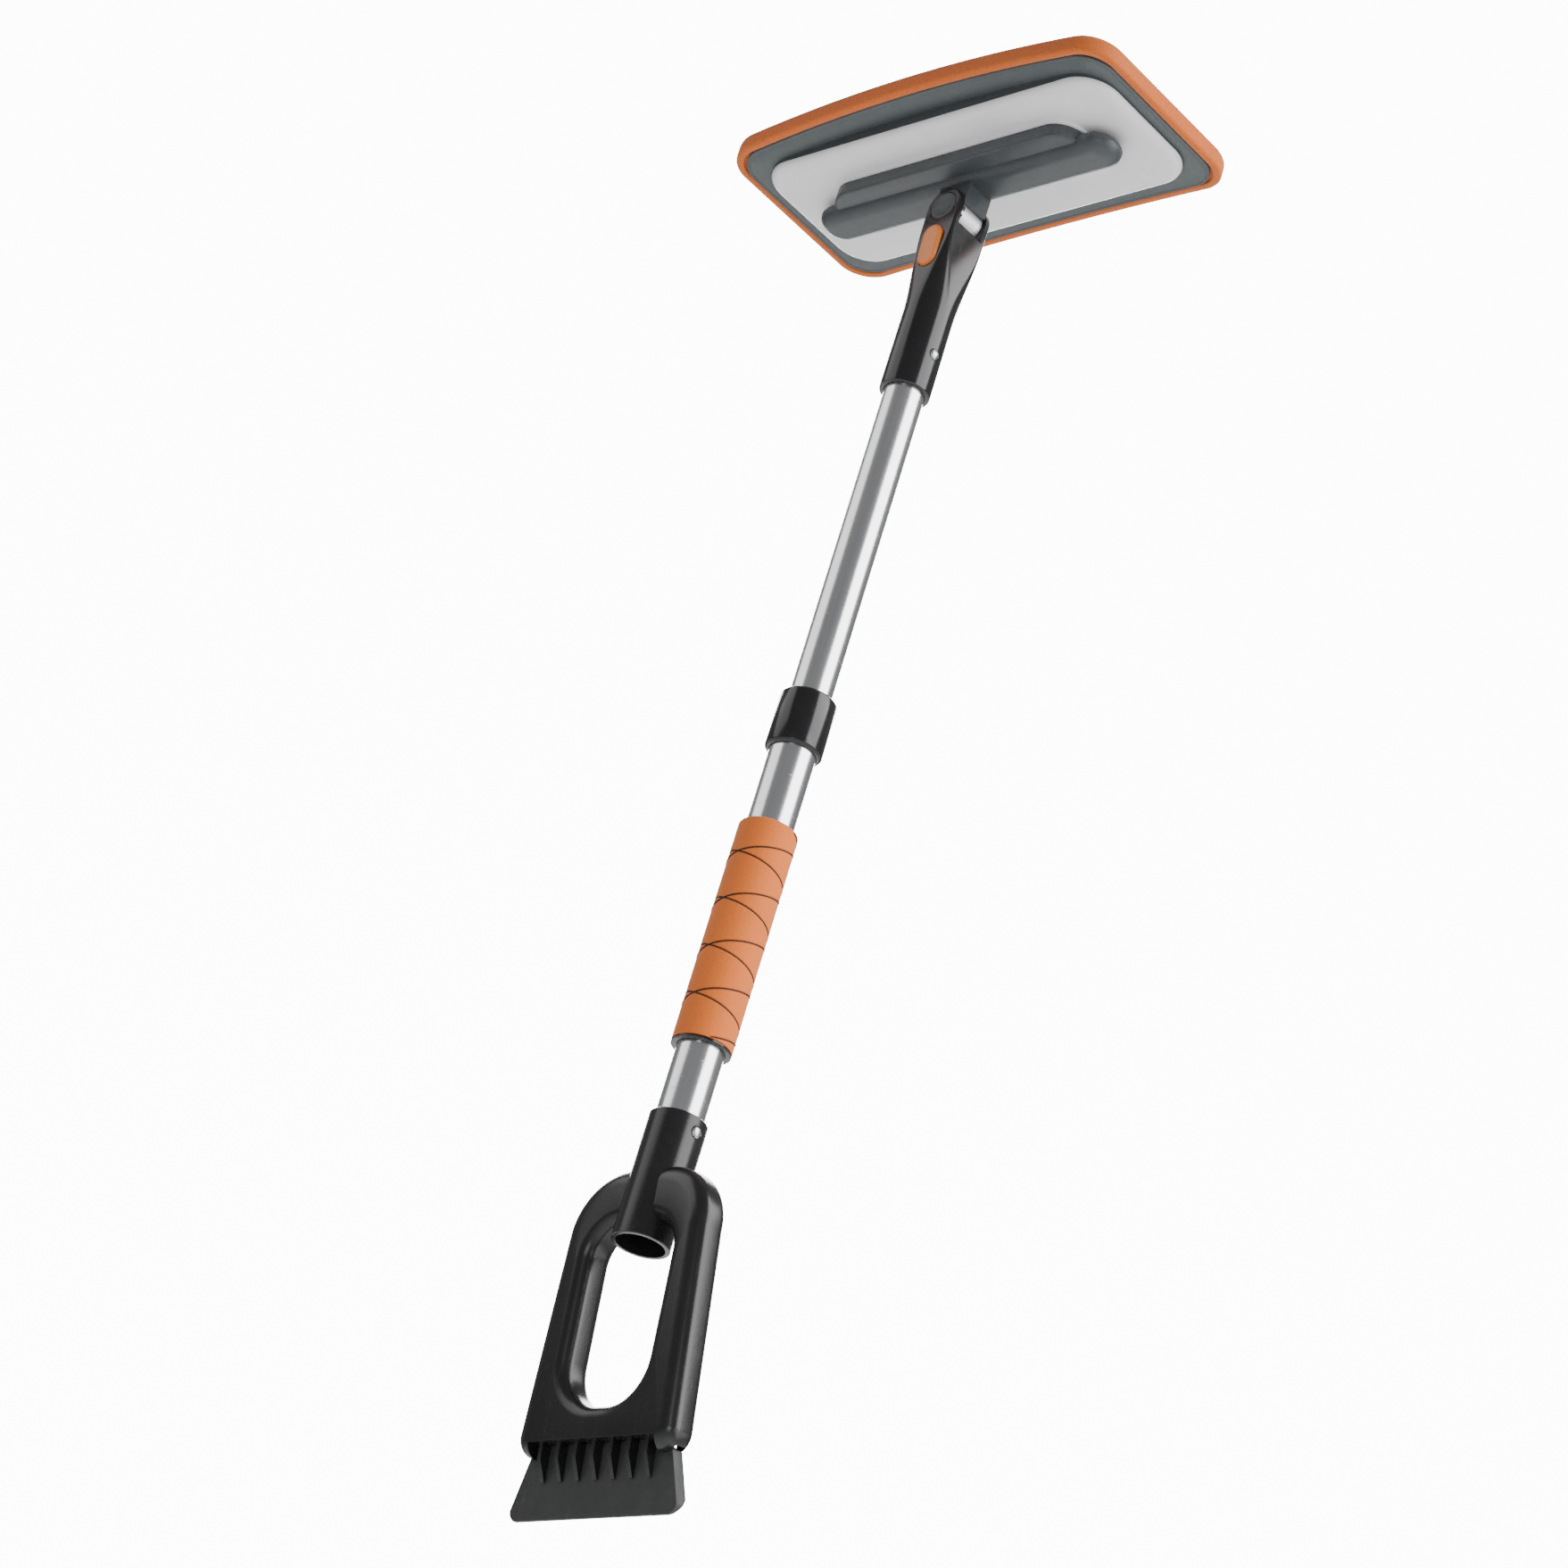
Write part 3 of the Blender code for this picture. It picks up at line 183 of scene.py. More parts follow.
def foamLook(name, s):
    look = Look(name)
    cloud = look.noise(s["cloud"], 4.0)
    pores = look.cells(s["pores"])
    fine = look.noise(s["pores"] * 1.7, 3.0)
    pits = look.ramp(pores, 0.05, 0.45)
    base = look.mix(cloud, darker(s["colour"], 0.88), darker(s["colour"], 1.10))
    # painted shade: the colour is darkened inside the pores, where the bump makes hollows, standing in for
    # the shade that falls in them
    poreShaded = look.mix((1 - pits) * s["pitDark"], base, darker(s["colour"], 0.45))
    dirt = look.ramp(look.noise(24.0, 7.0, 0.7), 0.50, 0.85)
    dirty = look.mix(dirt * s["dirt"], poreShaded, s["dirtColour"])
    normal = look.bump(pits, s["poreDepth"], 0.8)
    normal = look.bump(fine, s["poreDepth"] * 0.5, 0.5, normal)
    return look.finish(Base_Color=dirty, Roughness=0.78 + (cloud - 0.5) * 0.2, Normal=normal,
        Sheen_Weight=0.15, Sheen_Roughness=0.5)


def metalLook(name, s):
    look = Look(name)
    drawn = look.noise(s["lines"], 5.0, 0.6, look.stretched(s["stretch"]))
    blotch = look.noise(14.0, 5.0, 0.6)
    marks = look.ramp(look.noise(520.0, 2.0, 0.5, look.stretched((0.22, 0.22, 1.0))), 0.66, 0.72)
    base = look.mix(drawn, darker(s["colour"], 0.86), darker(s["colour"], 1.06))
    base = look.mix(blotch * 0.35, base, darker(s["colour"], 0.80))
    marked = look.mix(marks * s["marks"], base, darker(s["colour"], 0.45))
    rough = s["rough"] + (drawn - 0.5) * s["roughVary"] + (blotch - 0.5) * 0.08 + marks * 0.1
    normal = look.bump(drawn, s["depth"], 0.5)
    return look.finish(Base_Color=marked, Roughness=rough, Metallic=1.0, Normal=normal)


glossBlack = {"colour": (0.012, 0.012, 0.013), "cloud": 30.0, "vary": 0.15, "grain": 1800.0,
    "grainDepth": 0.000012, "scuff": 0.05, "scuffColour": (0.09, 0.09, 0.095), "dust": 0.04,
    "dustColour": (0.12, 0.12, 0.12), "rough": 0.17, "roughVary": 0.12, "coat": 0.0, "coatRough": 0.2}
blackPlastic = plasticLook("black_plastic", glossBlack)
satinBlack = dict(glossBlack, colour=(0.013, 0.013, 0.0135), rough=0.25, grain=1400.0, grainDepth=0.00002,
    scuff=0.1, dust=0.06)
scraperPlastic = plasticLook("scraper_plastic", satinBlack)
bladePlastic = plasticLook("blade_plastic",
    dict(satinBlack, colour=(0.035, 0.036, 0.037), rough=0.55, scuff=0.35, dust=0.2))
greyPlastic = plasticLook("grey_plastic",
    dict(satinBlack, colour=(0.060, 0.072, 0.076), rough=0.5, dustColour=(0.25, 0.26, 0.26), dust=0.12))
bracketPlastic = plasticLook("bracket_plastic",
    dict(satinBlack, colour=(0.042, 0.049, 0.053), rough=0.42, dustColour=(0.22, 0.23, 0.23), dust=0.10))
silverPlastic = plasticLook("silver_plastic",
    dict(satinBlack, colour=(0.78, 0.78, 0.79), rough=0.34, vary=0.05, scuff=0.15,
    scuffColour=(0.36, 0.36, 0.37), dust=0.15, dustColour=(0.40, 0.39, 0.38)))
orangePlastic = plasticLook("orange_plastic",
    dict(satinBlack, colour=(0.80, 0.22, 0.035), rough=0.32, vary=0.08, scuff=0.15,
    scuffColour=(0.85, 0.45, 0.25), dust=0.06, dustColour=(0.45, 0.25, 0.15)))
whitePlastic = plasticLook("white_plastic",
    dict(satinBlack, colour=(0.70, 0.70, 0.68), rough=0.4, vary=0.04, scuffColour=(0.5, 0.5, 0.48),
    dustColour=(0.5, 0.48, 0.45)))
padFoam = foamLook("pad_foam", {"colour": (0.60, 0.120, 0.005), "cloud": 18.0, "pores": 900.0,
    "pitDark": 0.55, "poreDepth": 0.00012, "dirt": 0.18, "dirtColour": (0.30, 0.12, 0.05)})
gripFoam = foamLook("grip_foam",
    {"colour": (0.82, 0.175, 0.010), "cloud": 22.0, "pores": 1500.0, "pitDark": 0.35, "poreDepth": 0.00006,
    "dirt": 0.12, "dirtColour": (0.35, 0.14, 0.06)})
cordBlack = plasticLook("cord_black",
    dict(satinBlack, colour=(0.014, 0.012, 0.011), rough=0.7, grain=3000.0))
tubeMetal = metalLook("tube_metal",
    {"colour": (0.90, 0.91, 0.93), "lines": 900.0, "stretch": (1.0, 1.0, 0.015), "marks": 0.2,
    "rough": 0.22, "roughVary": 0.10, "depth": 0.00001})
steelMetal = metalLook("steel_metal",
    {"colour": (0.60, 0.61, 0.63), "lines": 700.0, "stretch": (1.0, 0.2, 1.0), "marks": 0.4, "rough": 0.28,
    "roughVary": 0.15, "depth": 0.00001})
zincMetal = metalLook("zinc_metal",
    {"colour": (0.66, 0.67, 0.68), "lines": 380.0, "stretch": (1.0, 0.6, 1.0), "marks": 0.3, "rough": 0.45,
    "roughVary": 0.2, "depth": 0.00002})
print("materials ready")


# Mesh building
samePoint = 0.000002


def closedObject(name, points, faces):
    mesh = bpy.data.meshes.new(name)
    mesh.from_pydata([Vector(p) for p in points], [], faces)
    work = bmesh.new()
    work.from_mesh(mesh)
    bmesh.ops.remove_doubles(work, verts=work.verts, dist=samePoint)
    bmesh.ops.recalc_face_normals(work, faces=work.faces)
    work.to_mesh(mesh)
    work.free()
    made = bpy.data.objects.new(name, mesh)
    bpy.context.scene.collection.objects.link(made)
    return made


def dressed(mesh, material, angle):
    mesh.materials.clear()
    mesh.materials.append(material)
    mesh.shade_smooth()
    mesh.set_sharp_from_angle(angle=math.radians(angle))


def makePiece(name, points, faces, material, body, replaced=(), slot=None, angle=35):
    piece = closedObject(name, points, faces)
    dressed(piece.data, material, angle)
    if body:
        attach(piece, body)
        if replaced:
            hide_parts(*replaced)
    return piece


def axisPoint(axis, x, y, z):
    return {"X": (z, x, y), "Y": (y, z, x), "Z": (x, y, z)}[axis]


def lathe(profile, segments=96, axis="Z", centre=(0, 0, 0)):
    points, rows, faces = [], [], []
    for radius, height in profile:
        if radius == 0:
            rows.append([len(points)] * segments)
            points.append((0, 0, height))
        else:
            rows.append(list(range(len(points), len(points) + segments)))
            for step in range(segments):
                turn = 2 * math.pi * (step + 0.5) / segments
                points.append((radius * math.cos(turn), radius * math.sin(turn), height))
    if profile[0][0] > 0:
        rows.append(rows[0])
    for low, high in zip(rows, rows[1:]):
        for step in range(segments):
            after = (step + 1) % segments
            corners = list(dict.fromkeys([low[step], low[after], high[after], high[step]]))
            if len(corners) > 2:
                faces.append(corners)
    placed = [Vector(axisPoint(axis, *p)) + Vector(centre) for p in points]
    return placed, faces


def lofted(loops):
    count = len(loops[0])
    points = [p for loop in loops for p in loop]
    faces = [list(range(count)), list(range(len(points) - count, len(points)))]
    for level in range(len(loops) - 1):
        base = level * count
        for step in range(count):
            after = (step + 1) % count
            faces.append((base + step, base + after, base + count + after, base + count + step))
    return points, faces


def outlineOf(halfTop, halfBottom, top, bottom, cornerTop, cornerBottom, steps=14):
    centres = ((halfTop - cornerTop, top - cornerTop, cornerTop, 0),
        (cornerTop - halfTop, top - cornerTop, cornerTop, 1),
        (cornerBottom - halfBottom, bottom + cornerBottom, cornerBottom, 2),
        (halfBottom - cornerBottom, bottom + cornerBottom, cornerBottom, 3))
    made = []
    for x, height, radius, quarter in centres:
        for step in range(steps + 1):
            turn = (quarter + step / steps) * math.pi / 2
            made.append((x + radius * math.cos(turn), height + radius * math.sin(turn)))
    return made


def boxOutline(halfX, halfY, corner, steps=14):
    return outlineOf(halfX, halfX, halfY, -halfY, corner, corner, steps)


def tool(points, faces):
    return closedObject("tool", points, faces)


def combined(piece, steps, angle=35):
    # bakes union and difference steps, then throws the tools away
    for operation, other in steps:
        change = piece.modifiers.new("change", "BOOLEAN")
        change.operation = operation
        change.solver = "MANIFOLD"
        change.object = other
    bpy.context.view_layer.update()
    baked = bpy.data.meshes.new_from_object(piece.evaluated_get(bpy.context.evaluated_depsgraph_get()))
    piece.modifiers.clear()
    old = piece.data
    material = old.materials[0]
    piece.data = baked
    bpy.data.meshes.remove(old)
    for operation, other in steps:
        bpy.data.objects.remove(other, do_unlink=True)
    dressed(baked, material, angle)
    return piece


def boxTool(low, high, placed=list):
    points = [(x, y, z) for x in (low[0], high[0]) for y in (low[1], high[1]) for z in (low[2], high[2])]
    sides = [(0, 1, 3, 2), (4, 6, 7, 5), (0, 4, 5, 1), (2, 3, 7, 6), (0, 2, 6, 4), (1, 5, 7, 3)]
    return tool(placed(points), sides)


def rodTool(radius, start, end, axis="Z", centre=(0, 0, 0), segments=64):
    return tool(*lathe([(0, start), (radius, start), (radius, end), (0, end)], segments, axis, centre))


for name, material in {"collet": whitePlastic, "inner_bush": whitePlastic, "index_drum": zincMetal,
    "lock_pawl": steelMetal, "pivot_pin": steelMetal}.items():
    nodes[name].data.materials.clear()
    nodes[name].data.materials.append(material)

# Tubes
tubes = {"outer": 12.5 * mm, "outerWall": 0.9 * mm, "inner": 11.2 * mm, "innerWall": 1.2 * mm,
    "edge": 0.25 * mm}


def tubeProfile(radius, wall, low, high, edge):
    inner = radius - wall
    return [(inner, low), (radius - edge, low), (radius, low + edge), (radius, high - edge),
        (radius - edge, high), (inner, high)]


upperSnapZ = sum(v.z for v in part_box("upper_snap_button")) / 2
lowerSnapZ = sum(v.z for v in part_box("lower_snap_button")) / 2
for label, node, size, body, snapZ in (("outerTube", "outer_tube", "outer", "handle", lowerSnapZ),
    ("innerTube", "inner_tube", "inner", "pole", upperSnapZ)):
    low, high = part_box(node)
    profile = tubeProfile(tubes[size], tubes[size + "Wall"], low.z, high.z, tubes["edge"])
    tube = makePiece(label, *lathe(profile, 128), tubeMetal, body, [node], node)
    combined(tube, [("DIFFERENCE", rodTool(snap["hole"], 4 * mm, wide, "X", (0, 0, snapZ)))])
print("tubes ready")

# Foam grip, with two thin cords wound opposite ways into shallow grooves
grip = {"radius": 15.8 * mm, "bore": 12.8 * mm, "pitch": 27.4 * mm, "crossing": 15.0 * mm,
    "grooveWidth": 0.62 * mm, "grooveDepth": 0.45 * mm, "cord": 0.34 * mm, "endRound": 1.6 * mm,
    "footRound": 0.7 * mm}
low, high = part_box("foam_grip")


def gripLines(turn, height):
    # distance along the grip to the nearest cord, at an angle from the front
    best = 1.0
    for hand in (-1, 1):
        offset = (height - grip["crossing"] - hand * grip["pitch"] * turn / (2 * math.pi)) % grip["pitch"]
        best = min(best, offset, grip["pitch"] - offset)
    return best


def gripSurface(quick):
    around = 180 if quick else 300
    along = 240 if quick else 620
    ends = 8
    points, faces, rows = [], [], []

    def ring(radius, height, carved):
        rows.append(len(points))
        for step in range(around):
            turn = 2 * math.pi * step / around
            depth = 0.0
            if carved:
                gap = gripLines(turn, height) / grip["grooveWidth"]
                depth = grip["grooveDepth"] * math.exp(-gap * gap)
            r = radius - depth + 0.00004 * noise((math.sin(turn) * 9, math.cos(turn) * 9, height * 300))
            points.append((r * math.sin(turn), -r * math.cos(turn), height))

    foot = grip["footRound"]
    length = high.z - low.z - foot - grip["endRound"]
    ring(grip["bore"], low.z, False)
    for step in range(ends + 1):
        turn = step / ends * math.pi / 2
        ring(grip["radius"] - foot * (1 - math.sin(turn)), low.z + foot * (1 - math.cos(turn)), step == ends)
    for step in range(1, along):
        ring(grip["radius"], low.z + foot + length * step / along, True)
    for step in range(ends + 1):
        turn = step / ends * math.pi / 2
        ring(grip["radius"] - grip["endRound"] * (1 - math.cos(turn)),
            high.z - grip["endRound"] * (1 - math.sin(turn)), step == 0)
    ring(grip["bore"], high.z, False)
    rows.append(rows[0])
    for a, b in zip(rows, rows[1:]):
        for step in range(around):
            after = (step + 1) % around
            faces.append((a + step, a + after, b + after, b + step))
    return points, faces


foamGrip = makePiece("foamGrip", *gripSurface(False), gripFoam, "handle", ["foam_grip"], "foam_grip",
    50)


def cordAlong(hand):
    loops = []
    margin = 0.5 * mm
    start = (low.z + margin - grip["crossing"]) / grip["pitch"] * 2 * math.pi * hand
    end = (high.z - grip["endRound"] * 0.7 - grip["crossing"]) / grip["pitch"] * 2 * math.pi * hand
    steps = 420
    centreRadius = grip["radius"] - grip["grooveDepth"] + grip["cord"] * 0.75
    for step in range(steps + 1):
        turn = start + (end - start) * step / steps
        height = grip["crossing"] + hand * grip["pitch"] * turn / (2 * math.pi)
        radius = centreRadius + (0.12 * mm if hand > 0 else 0.0)
        loop = []
        for corner in range(8):
            around = corner * math.pi / 4
            r = radius + grip["cord"] * math.cos(around)
            loop.append((r * math.sin(turn), -r * math.cos(turn), height + grip["cord"] * math.sin(around)))
        loops.append(loop)
    return lofted(loops)


for hand, label in ((-1, "gripCordLeft"), (1, "gripCordRight")):
    makePiece(label, *cordAlong(hand), cordBlack, "handle", slot="grip_end_ring", angle=60)
low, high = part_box("grip_end_ring")
makePiece("gripRing",
    *lathe([(grip["bore"], low.z), (15.2 * mm, low.z), (15.7 * mm, low.z + 0.35 * mm),
    (15.75 * mm, high.z - 0.2 * mm), (15.6 * mm, high.z), (grip["bore"], high.z)], 128), blackPlastic,
    "handle", ["grip_end_ring"], "grip_end_ring")
print("grip ready")

# Twist collar
collar = {"radius": 15.24 * mm, "chamfer": 1.3 * mm, "bore": 12.75 * mm, "lipBore": 11.5 * mm,
    "cavity": 13.55 * mm, "lip": 2.7 * mm}
low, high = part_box("twist_collar")
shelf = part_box("outer_tube")[1].z + fitGap
radius, lip = collar["radius"], high.z - collar["lip"]
face = radius - collar["chamfer"]
foot, brow = low.z + collar["chamfer"], high.z - collar["chamfer"]
profile = [(collar["bore"], low.z), (face - 0.3 * mm, low.z), (face, low.z + 0.1 * mm)]
profile += [(radius - 0.15 * mm, foot - 0.15 * mm), (radius, foot + 0.2 * mm)]
profile += [(radius - 0.03 * mm, (low.z + high.z) / 2), (radius, brow - 0.3 * mm)]
profile += [(radius - 0.2 * mm, brow + 0.1 * mm), (face, high.z - 0.1 * mm), (face - 0.3 * mm, high.z)]
profile += [(collar["lipBore"], high.z), (collar["lipBore"], lip)]
profile += [(collar["cavity"], lip), (collar["cavity"], shelf), (collar["bore"], shelf)]
makePiece("twistCollar", *lathe(profile, 144), blackPlastic, "collar", ["twist_collar"],
    "twist_collar", 50)

# Snap buttons
for label, node, body, sleeve in (("upperSnap", "upper_snap_button", "upper_snap", 14.0 * mm),
    ("lowerSnap", "lower_snap_button", "lower_snap", 15.1 * mm)):
    low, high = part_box(node)
    centre = (0, 0, (low.z + high.z) / 2)
    proud = high.x - sleeve
    shoulder = low.x + snap["flangeThick"]
    profile = [(0, low.x), (snap["flange"], low.x), (snap["flange"], shoulder), (snap["radius"], shoulder)]
    profile += [(snap["radius"] * math.cos(t * math.pi / 20),
        sleeve - 0.1 * mm + (proud + 0.1 * mm) * math.sin(t * math.pi / 20)) for t in range(10)]
    profile += [(0, high.x)]
    makePiece(label, *lathe(profile, 48, "X", centre), steelMetal, body, [node], node, 50)

# Neck: round where it takes the tube, then a fork with a deep pocket for the lock button
neck = {"radius": 14.0 * mm, "forkX": 12.0 * mm, "forkY": 13.3 * mm, "edge": 1.5 * mm, "slot": 9.7 * mm,
    "blendStart": -69.0 * mm, "blendEnd": -13.0 * mm, "bore": 11.45 * mm, "boreDepth": 65.5 * mm,
    "capSeat": 8.8 * mm, "seatY": 12.1 * mm, "pinHole": 3.0 * mm}
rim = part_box("neck")[0].z
shape = []
for z, inset in ((rim, 0.5 * mm), (rim + 0.2 * mm, 0.15 * mm), (rim + 0.7 * mm, 0.0),
    (pivot + neck["blendStart"], 0.0)):
    shape.append((z, neck["radius"] - inset, neck["radius"] - inset, neck["radius"] - inset))
for step in range(1, 29):
    part = step / 28
    ease = part * part * (3 - 2 * part)
    halfX = neck["radius"] + (neck["forkX"] - neck["radius"]) * ease
    halfY = neck["radius"] + (neck["forkY"] - neck["radius"]) * ease
    corner = min(neck["radius"] + (neck["edge"] - neck["radius"]) * ease, halfX, halfY)
    z = pivot + neck["blendStart"] + (neck["blendEnd"] - neck["blendStart"]) * part
    shape.append((z, halfX, halfY, corner))
for step in range(22):
    turn = math.radians(step * 4.05)
    halfX = neck["forkX"] * math.cos(turn)
    shape.append((pivot + neck["forkX"] * math.sin(turn), halfX, neck["forkY"],
        min(neck["edge"], halfX * 0.9)))
loops = [[(x, y, z) for x, y in boxOutline(halfX, halfY, corner, 16)] for z, halfX, halfY, corner in shape]
neckPiece = makePiece("neckFork", *lofted(loops), blackPlastic, "pole", ["neck"], "neck")
button = {"halfWidth": 6.2 * mm, "halfHeight": 13.3 * mm, "centre": pivot - 27.7 * mm, "gap": 0.3 * mm}


def buttonOutline(grow, steps=14):
    half, reach = button["halfWidth"] + grow, button["halfHeight"] + grow
    outline = outlineOf(half, half, reach, -reach, half, half, steps)
    return [(height + button["centre"], x) for x, height in outline]


def alongY(outline, start, end):
    return tool(*lofted([[axisPoint("Y", z, x, level) for z, x in outline] for level in (start, end)]))


cuts = [rodTool(neck["bore"], rim - 4 * mm, rim + neck["boreDepth"], segments=96)]
cuts += [boxTool((-wide, -neck["slot"], pivot - 12 * mm), (wide, neck["slot"], pivot + wide))]
seatRadius, seatY, hole = neck["capSeat"], neck["seatY"], neck["pinHole"]
recess = [(0, -wide), (seatRadius, -wide), (seatRadius, -seatY), (hole, -seatY), (hole, seatY),
    (seatRadius, seatY), (seatRadius, wide), (0, wide)]
cuts += [tool(*lathe(recess, 96, "Y", (0, 0, pivot)))]
cuts += [rodTool(snap["hole"], 4 * mm, wide, "X", (0, 0, upperSnapZ))]
cuts += [alongY(buttonOutline(button["gap"]), -wide, -11.5 * mm),
    alongY(buttonOutline(1.2 * mm), -11.8 * mm, -3.5 * mm)]
cuts += [boxTool((-3.1 * mm, -10.0 * mm, button["centre"]), (3.1 * mm, -3.8 * mm, pivot - 8 * mm))]
combined(neckPiece, [("DIFFERENCE", cut) for cut in cuts])
capProfile = ((0, 12.4), (8.5, 12.4), (8.5, 13.15), (8.2, 13.5), (7.2, 13.6), (6.6, 13.3), (3.0, 13.25),
    (0, 13.3))
for label, node, side in (("pivotCapNear", "pivot_cap_near", -1), ("pivotCapFar", "pivot_cap_far", 1)):
    profile = [(radius * mm, side * level * mm) for radius, level in capProfile]
    makePiece(label, *lathe(profile, 96, "Y", (0, 0, pivot)), bracketPlastic, "pole", [node], node, 40)

# Lock button, with a shallow thumb dish and a sloping lower end
loops = []
rows = [(-2.6 * mm, -15.95 * mm), (-1.5 * mm, -16.0 * mm), (-0.7 * mm, -15.75 * mm),
    (-0.2 * mm, -15.2 * mm), (0, -14.4 * mm), (0, -11.5 * mm), (0.9 * mm, -11.5 * mm),
    (0.9 * mm, -9.7 * mm)]
for grow, level in rows:
    outline = buttonOutline(grow)
    loop = []
    for z, x in outline:
        fall = max(0.0, (button["centre"] + 1.5 * mm - z) / (button["halfHeight"]))
        depth = level + (1.5 * mm * fall * fall if level < -14.4 * mm else 0.0)
        loop.append(axisPoint("Y", z, x, depth))
    loops.append(loop)
makePiece("lockButton", *lofted(loops), orangePlastic, "lock_button", ["lock_button"],
    "lock_button", 40)
print("pole ready")

# Springs: a coil behind the lock button and folded leaves behind the snap buttons.
spring = {"turns": 4, "coil": 2.7 * mm, "wire": 0.35 * mm, "lockStroke": 3.0 * mm, "snapStroke": 4.4 * mm,
    "strip": 0.5 * mm, "bend": 2.2 * mm, "edge": 0.08 * mm}
low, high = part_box("lock_spring")
centre = (low + high) / 2
steps = spring["turns"] * 32
start, end = low.y + spring["wire"], high.y - spring["wire"]
loops = []
for step in range(steps + 1):
    turn = 2 * math.pi * spring["turns"] * step / steps
    y = start + (end - start) * step / steps
    loop = []
    for corner in range(12):
        angle = corner * math.pi / 6
        reach = spring["coil"] + spring["wire"] * math.cos(angle)
        loop.append((centre.x + reach * math.cos(turn), y + spring["wire"] * math.sin(angle),
            centre.z + reach * math.sin(turn)))
    loops.append(loop)
lockSpring = makePiece("lockSpring", *lofted(loops), steelMetal, "pole", ["lock_spring"], "lock_spring", 50)
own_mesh(lockSpring)
for label, bend, body in (("upper", 1, "pole"), ("lower", -1, "handle")):
    node = f"{label}_snap_spring"
    low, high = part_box(node)
    half = spring["strip"] / 2
    tip = low.z if bend > 0 else high.z
    fold = (high.z if bend > 0 else low.z) - bend * (spring["bend"] + half)
    front, rear = high.x - half, low.x + half
    path = [(front, tip), (front, tip + bend * 2 * snap["flange"])]
    for step in range(25):
        angle = step / 24 * math.pi
        path.append((rear + spring["bend"] * (1 + math.cos(angle)),
            fold + bend * spring["bend"] * math.sin(angle)))
    path.append((rear, tip))
    sides = []
    for index, (x, z) in enumerate(path):
        before, after = path[max(index - 1, 0)], path[min(index + 1, len(path) - 1)]
        run, rise = after[0] - before[0], after[1] - before[1]
        length = math.hypot(run, rise)
        sides.append((x, z, -rise / length * half, run / length * half))
    loops = []
    for y, share in ((low.y, 0.6), (low.y + spring["edge"], 1.0), (high.y - spring["edge"], 1.0),
        (high.y, 0.6)):
        loop = [(x + across * share, y, z + up * share) for x, z, across, up in sides]
        loop += [(x - across * share, y, z - up * share) for x, z, across, up in reversed(sides)]
        loops.append(loop)
    leaf = makePiece(f"{label}SnapSpring", *lofted(loops), steelMetal, body, [node], node, 40)
    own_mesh(leaf)
print("springs ready")

# Head layers, bowed along the long sides and arched
head = {"plateX": 122.0 * mm, "plateY": 46.6 * mm, "plateCorner": 21.0 * mm, "plinth": 1.2 * mm,
    "backX": 130.6 * mm, "backY": 57.6 * mm, "backCorner": 18.0 * mm, "bow": 3.4 * mm, "arch": 6.2 * mm,
    "lip": 5.0 * mm, "side": 6.2 * mm, "crown": 8.0 * mm, "plinthX": 88.5 * mm, "plinthY": 25 * mm,
    "plinthCorner": 17.5 * mm, "plateBack": 29.3 * mm, "plateThick": 4.0 * mm, "backThick": 2.0 * mm,
    "screwX": 32 * mm, "screwY": 8.5 * mm, "channels": (25, 37, 49), "channelDepth": 1.7 * mm,
    "channelHalf": 1.9 * mm}


def headHalf(halfX, halfY, corner, bow, cornerSteps=14, sideSteps=60):
    side = [(halfX - corner + corner * math.cos(t / cornerSteps * math.pi / 2),
        halfY - corner + corner * math.sin(t / cornerSteps * math.pi / 2)) for t in range(cornerSteps + 1)]
    straight = [((halfX - corner) * (1 - 2 * t / sideSteps), halfY) for t in range(1, sideSteps)]
    side = side + straight + [(-x, y) for x, y in reversed(side)]
    return [(x, y + bow * (1 - (x / halfX) ** 2) * y / halfY) for x, y in side]


def headLayer(rows, halfX, halfY, corner, bow, shaped=None):
    points, loops, faces = [], [], []
    for inset, height, share in rows:
        half = headHalf(halfX - inset, halfY - inset, max(corner - inset, 0.5 * mm),
            bow * max(0.0, 1 - inset / halfY))
        loop = half + [(x, -y) for x, y in reversed(half)]
        loops.append(list(range(len(points), len(points) + len(loop))))
        for x, y in loop:
            z = pivot + height + share * head["arch"] * (1 - (x / head["backX"]) ** 2)
            points.append((x, y, z - (shaped(x, y, inset) if shaped else 0.0)))
    count = len(loops[0])
    for a, b in zip(loops, loops[1:]):
        for step in range(count):
            after = (step + 1) % count
            faces.append((a[step], a[after], b[after], b[step]))
    for loop in (loops[0], loops[-1]):
        for step in range(count // 2 - 1):
            faces.append((loop[step], loop[step + 1], loop[count - 2 - step], loop[count - 1 - step]))
    return points, faces


def screwPlaces():
    acrossX, acrossY = (-head["screwX"], head["screwX"]), (-head["screwY"], head["screwY"])
    return [(x, y, 0) for x in acrossX for y in acrossY]


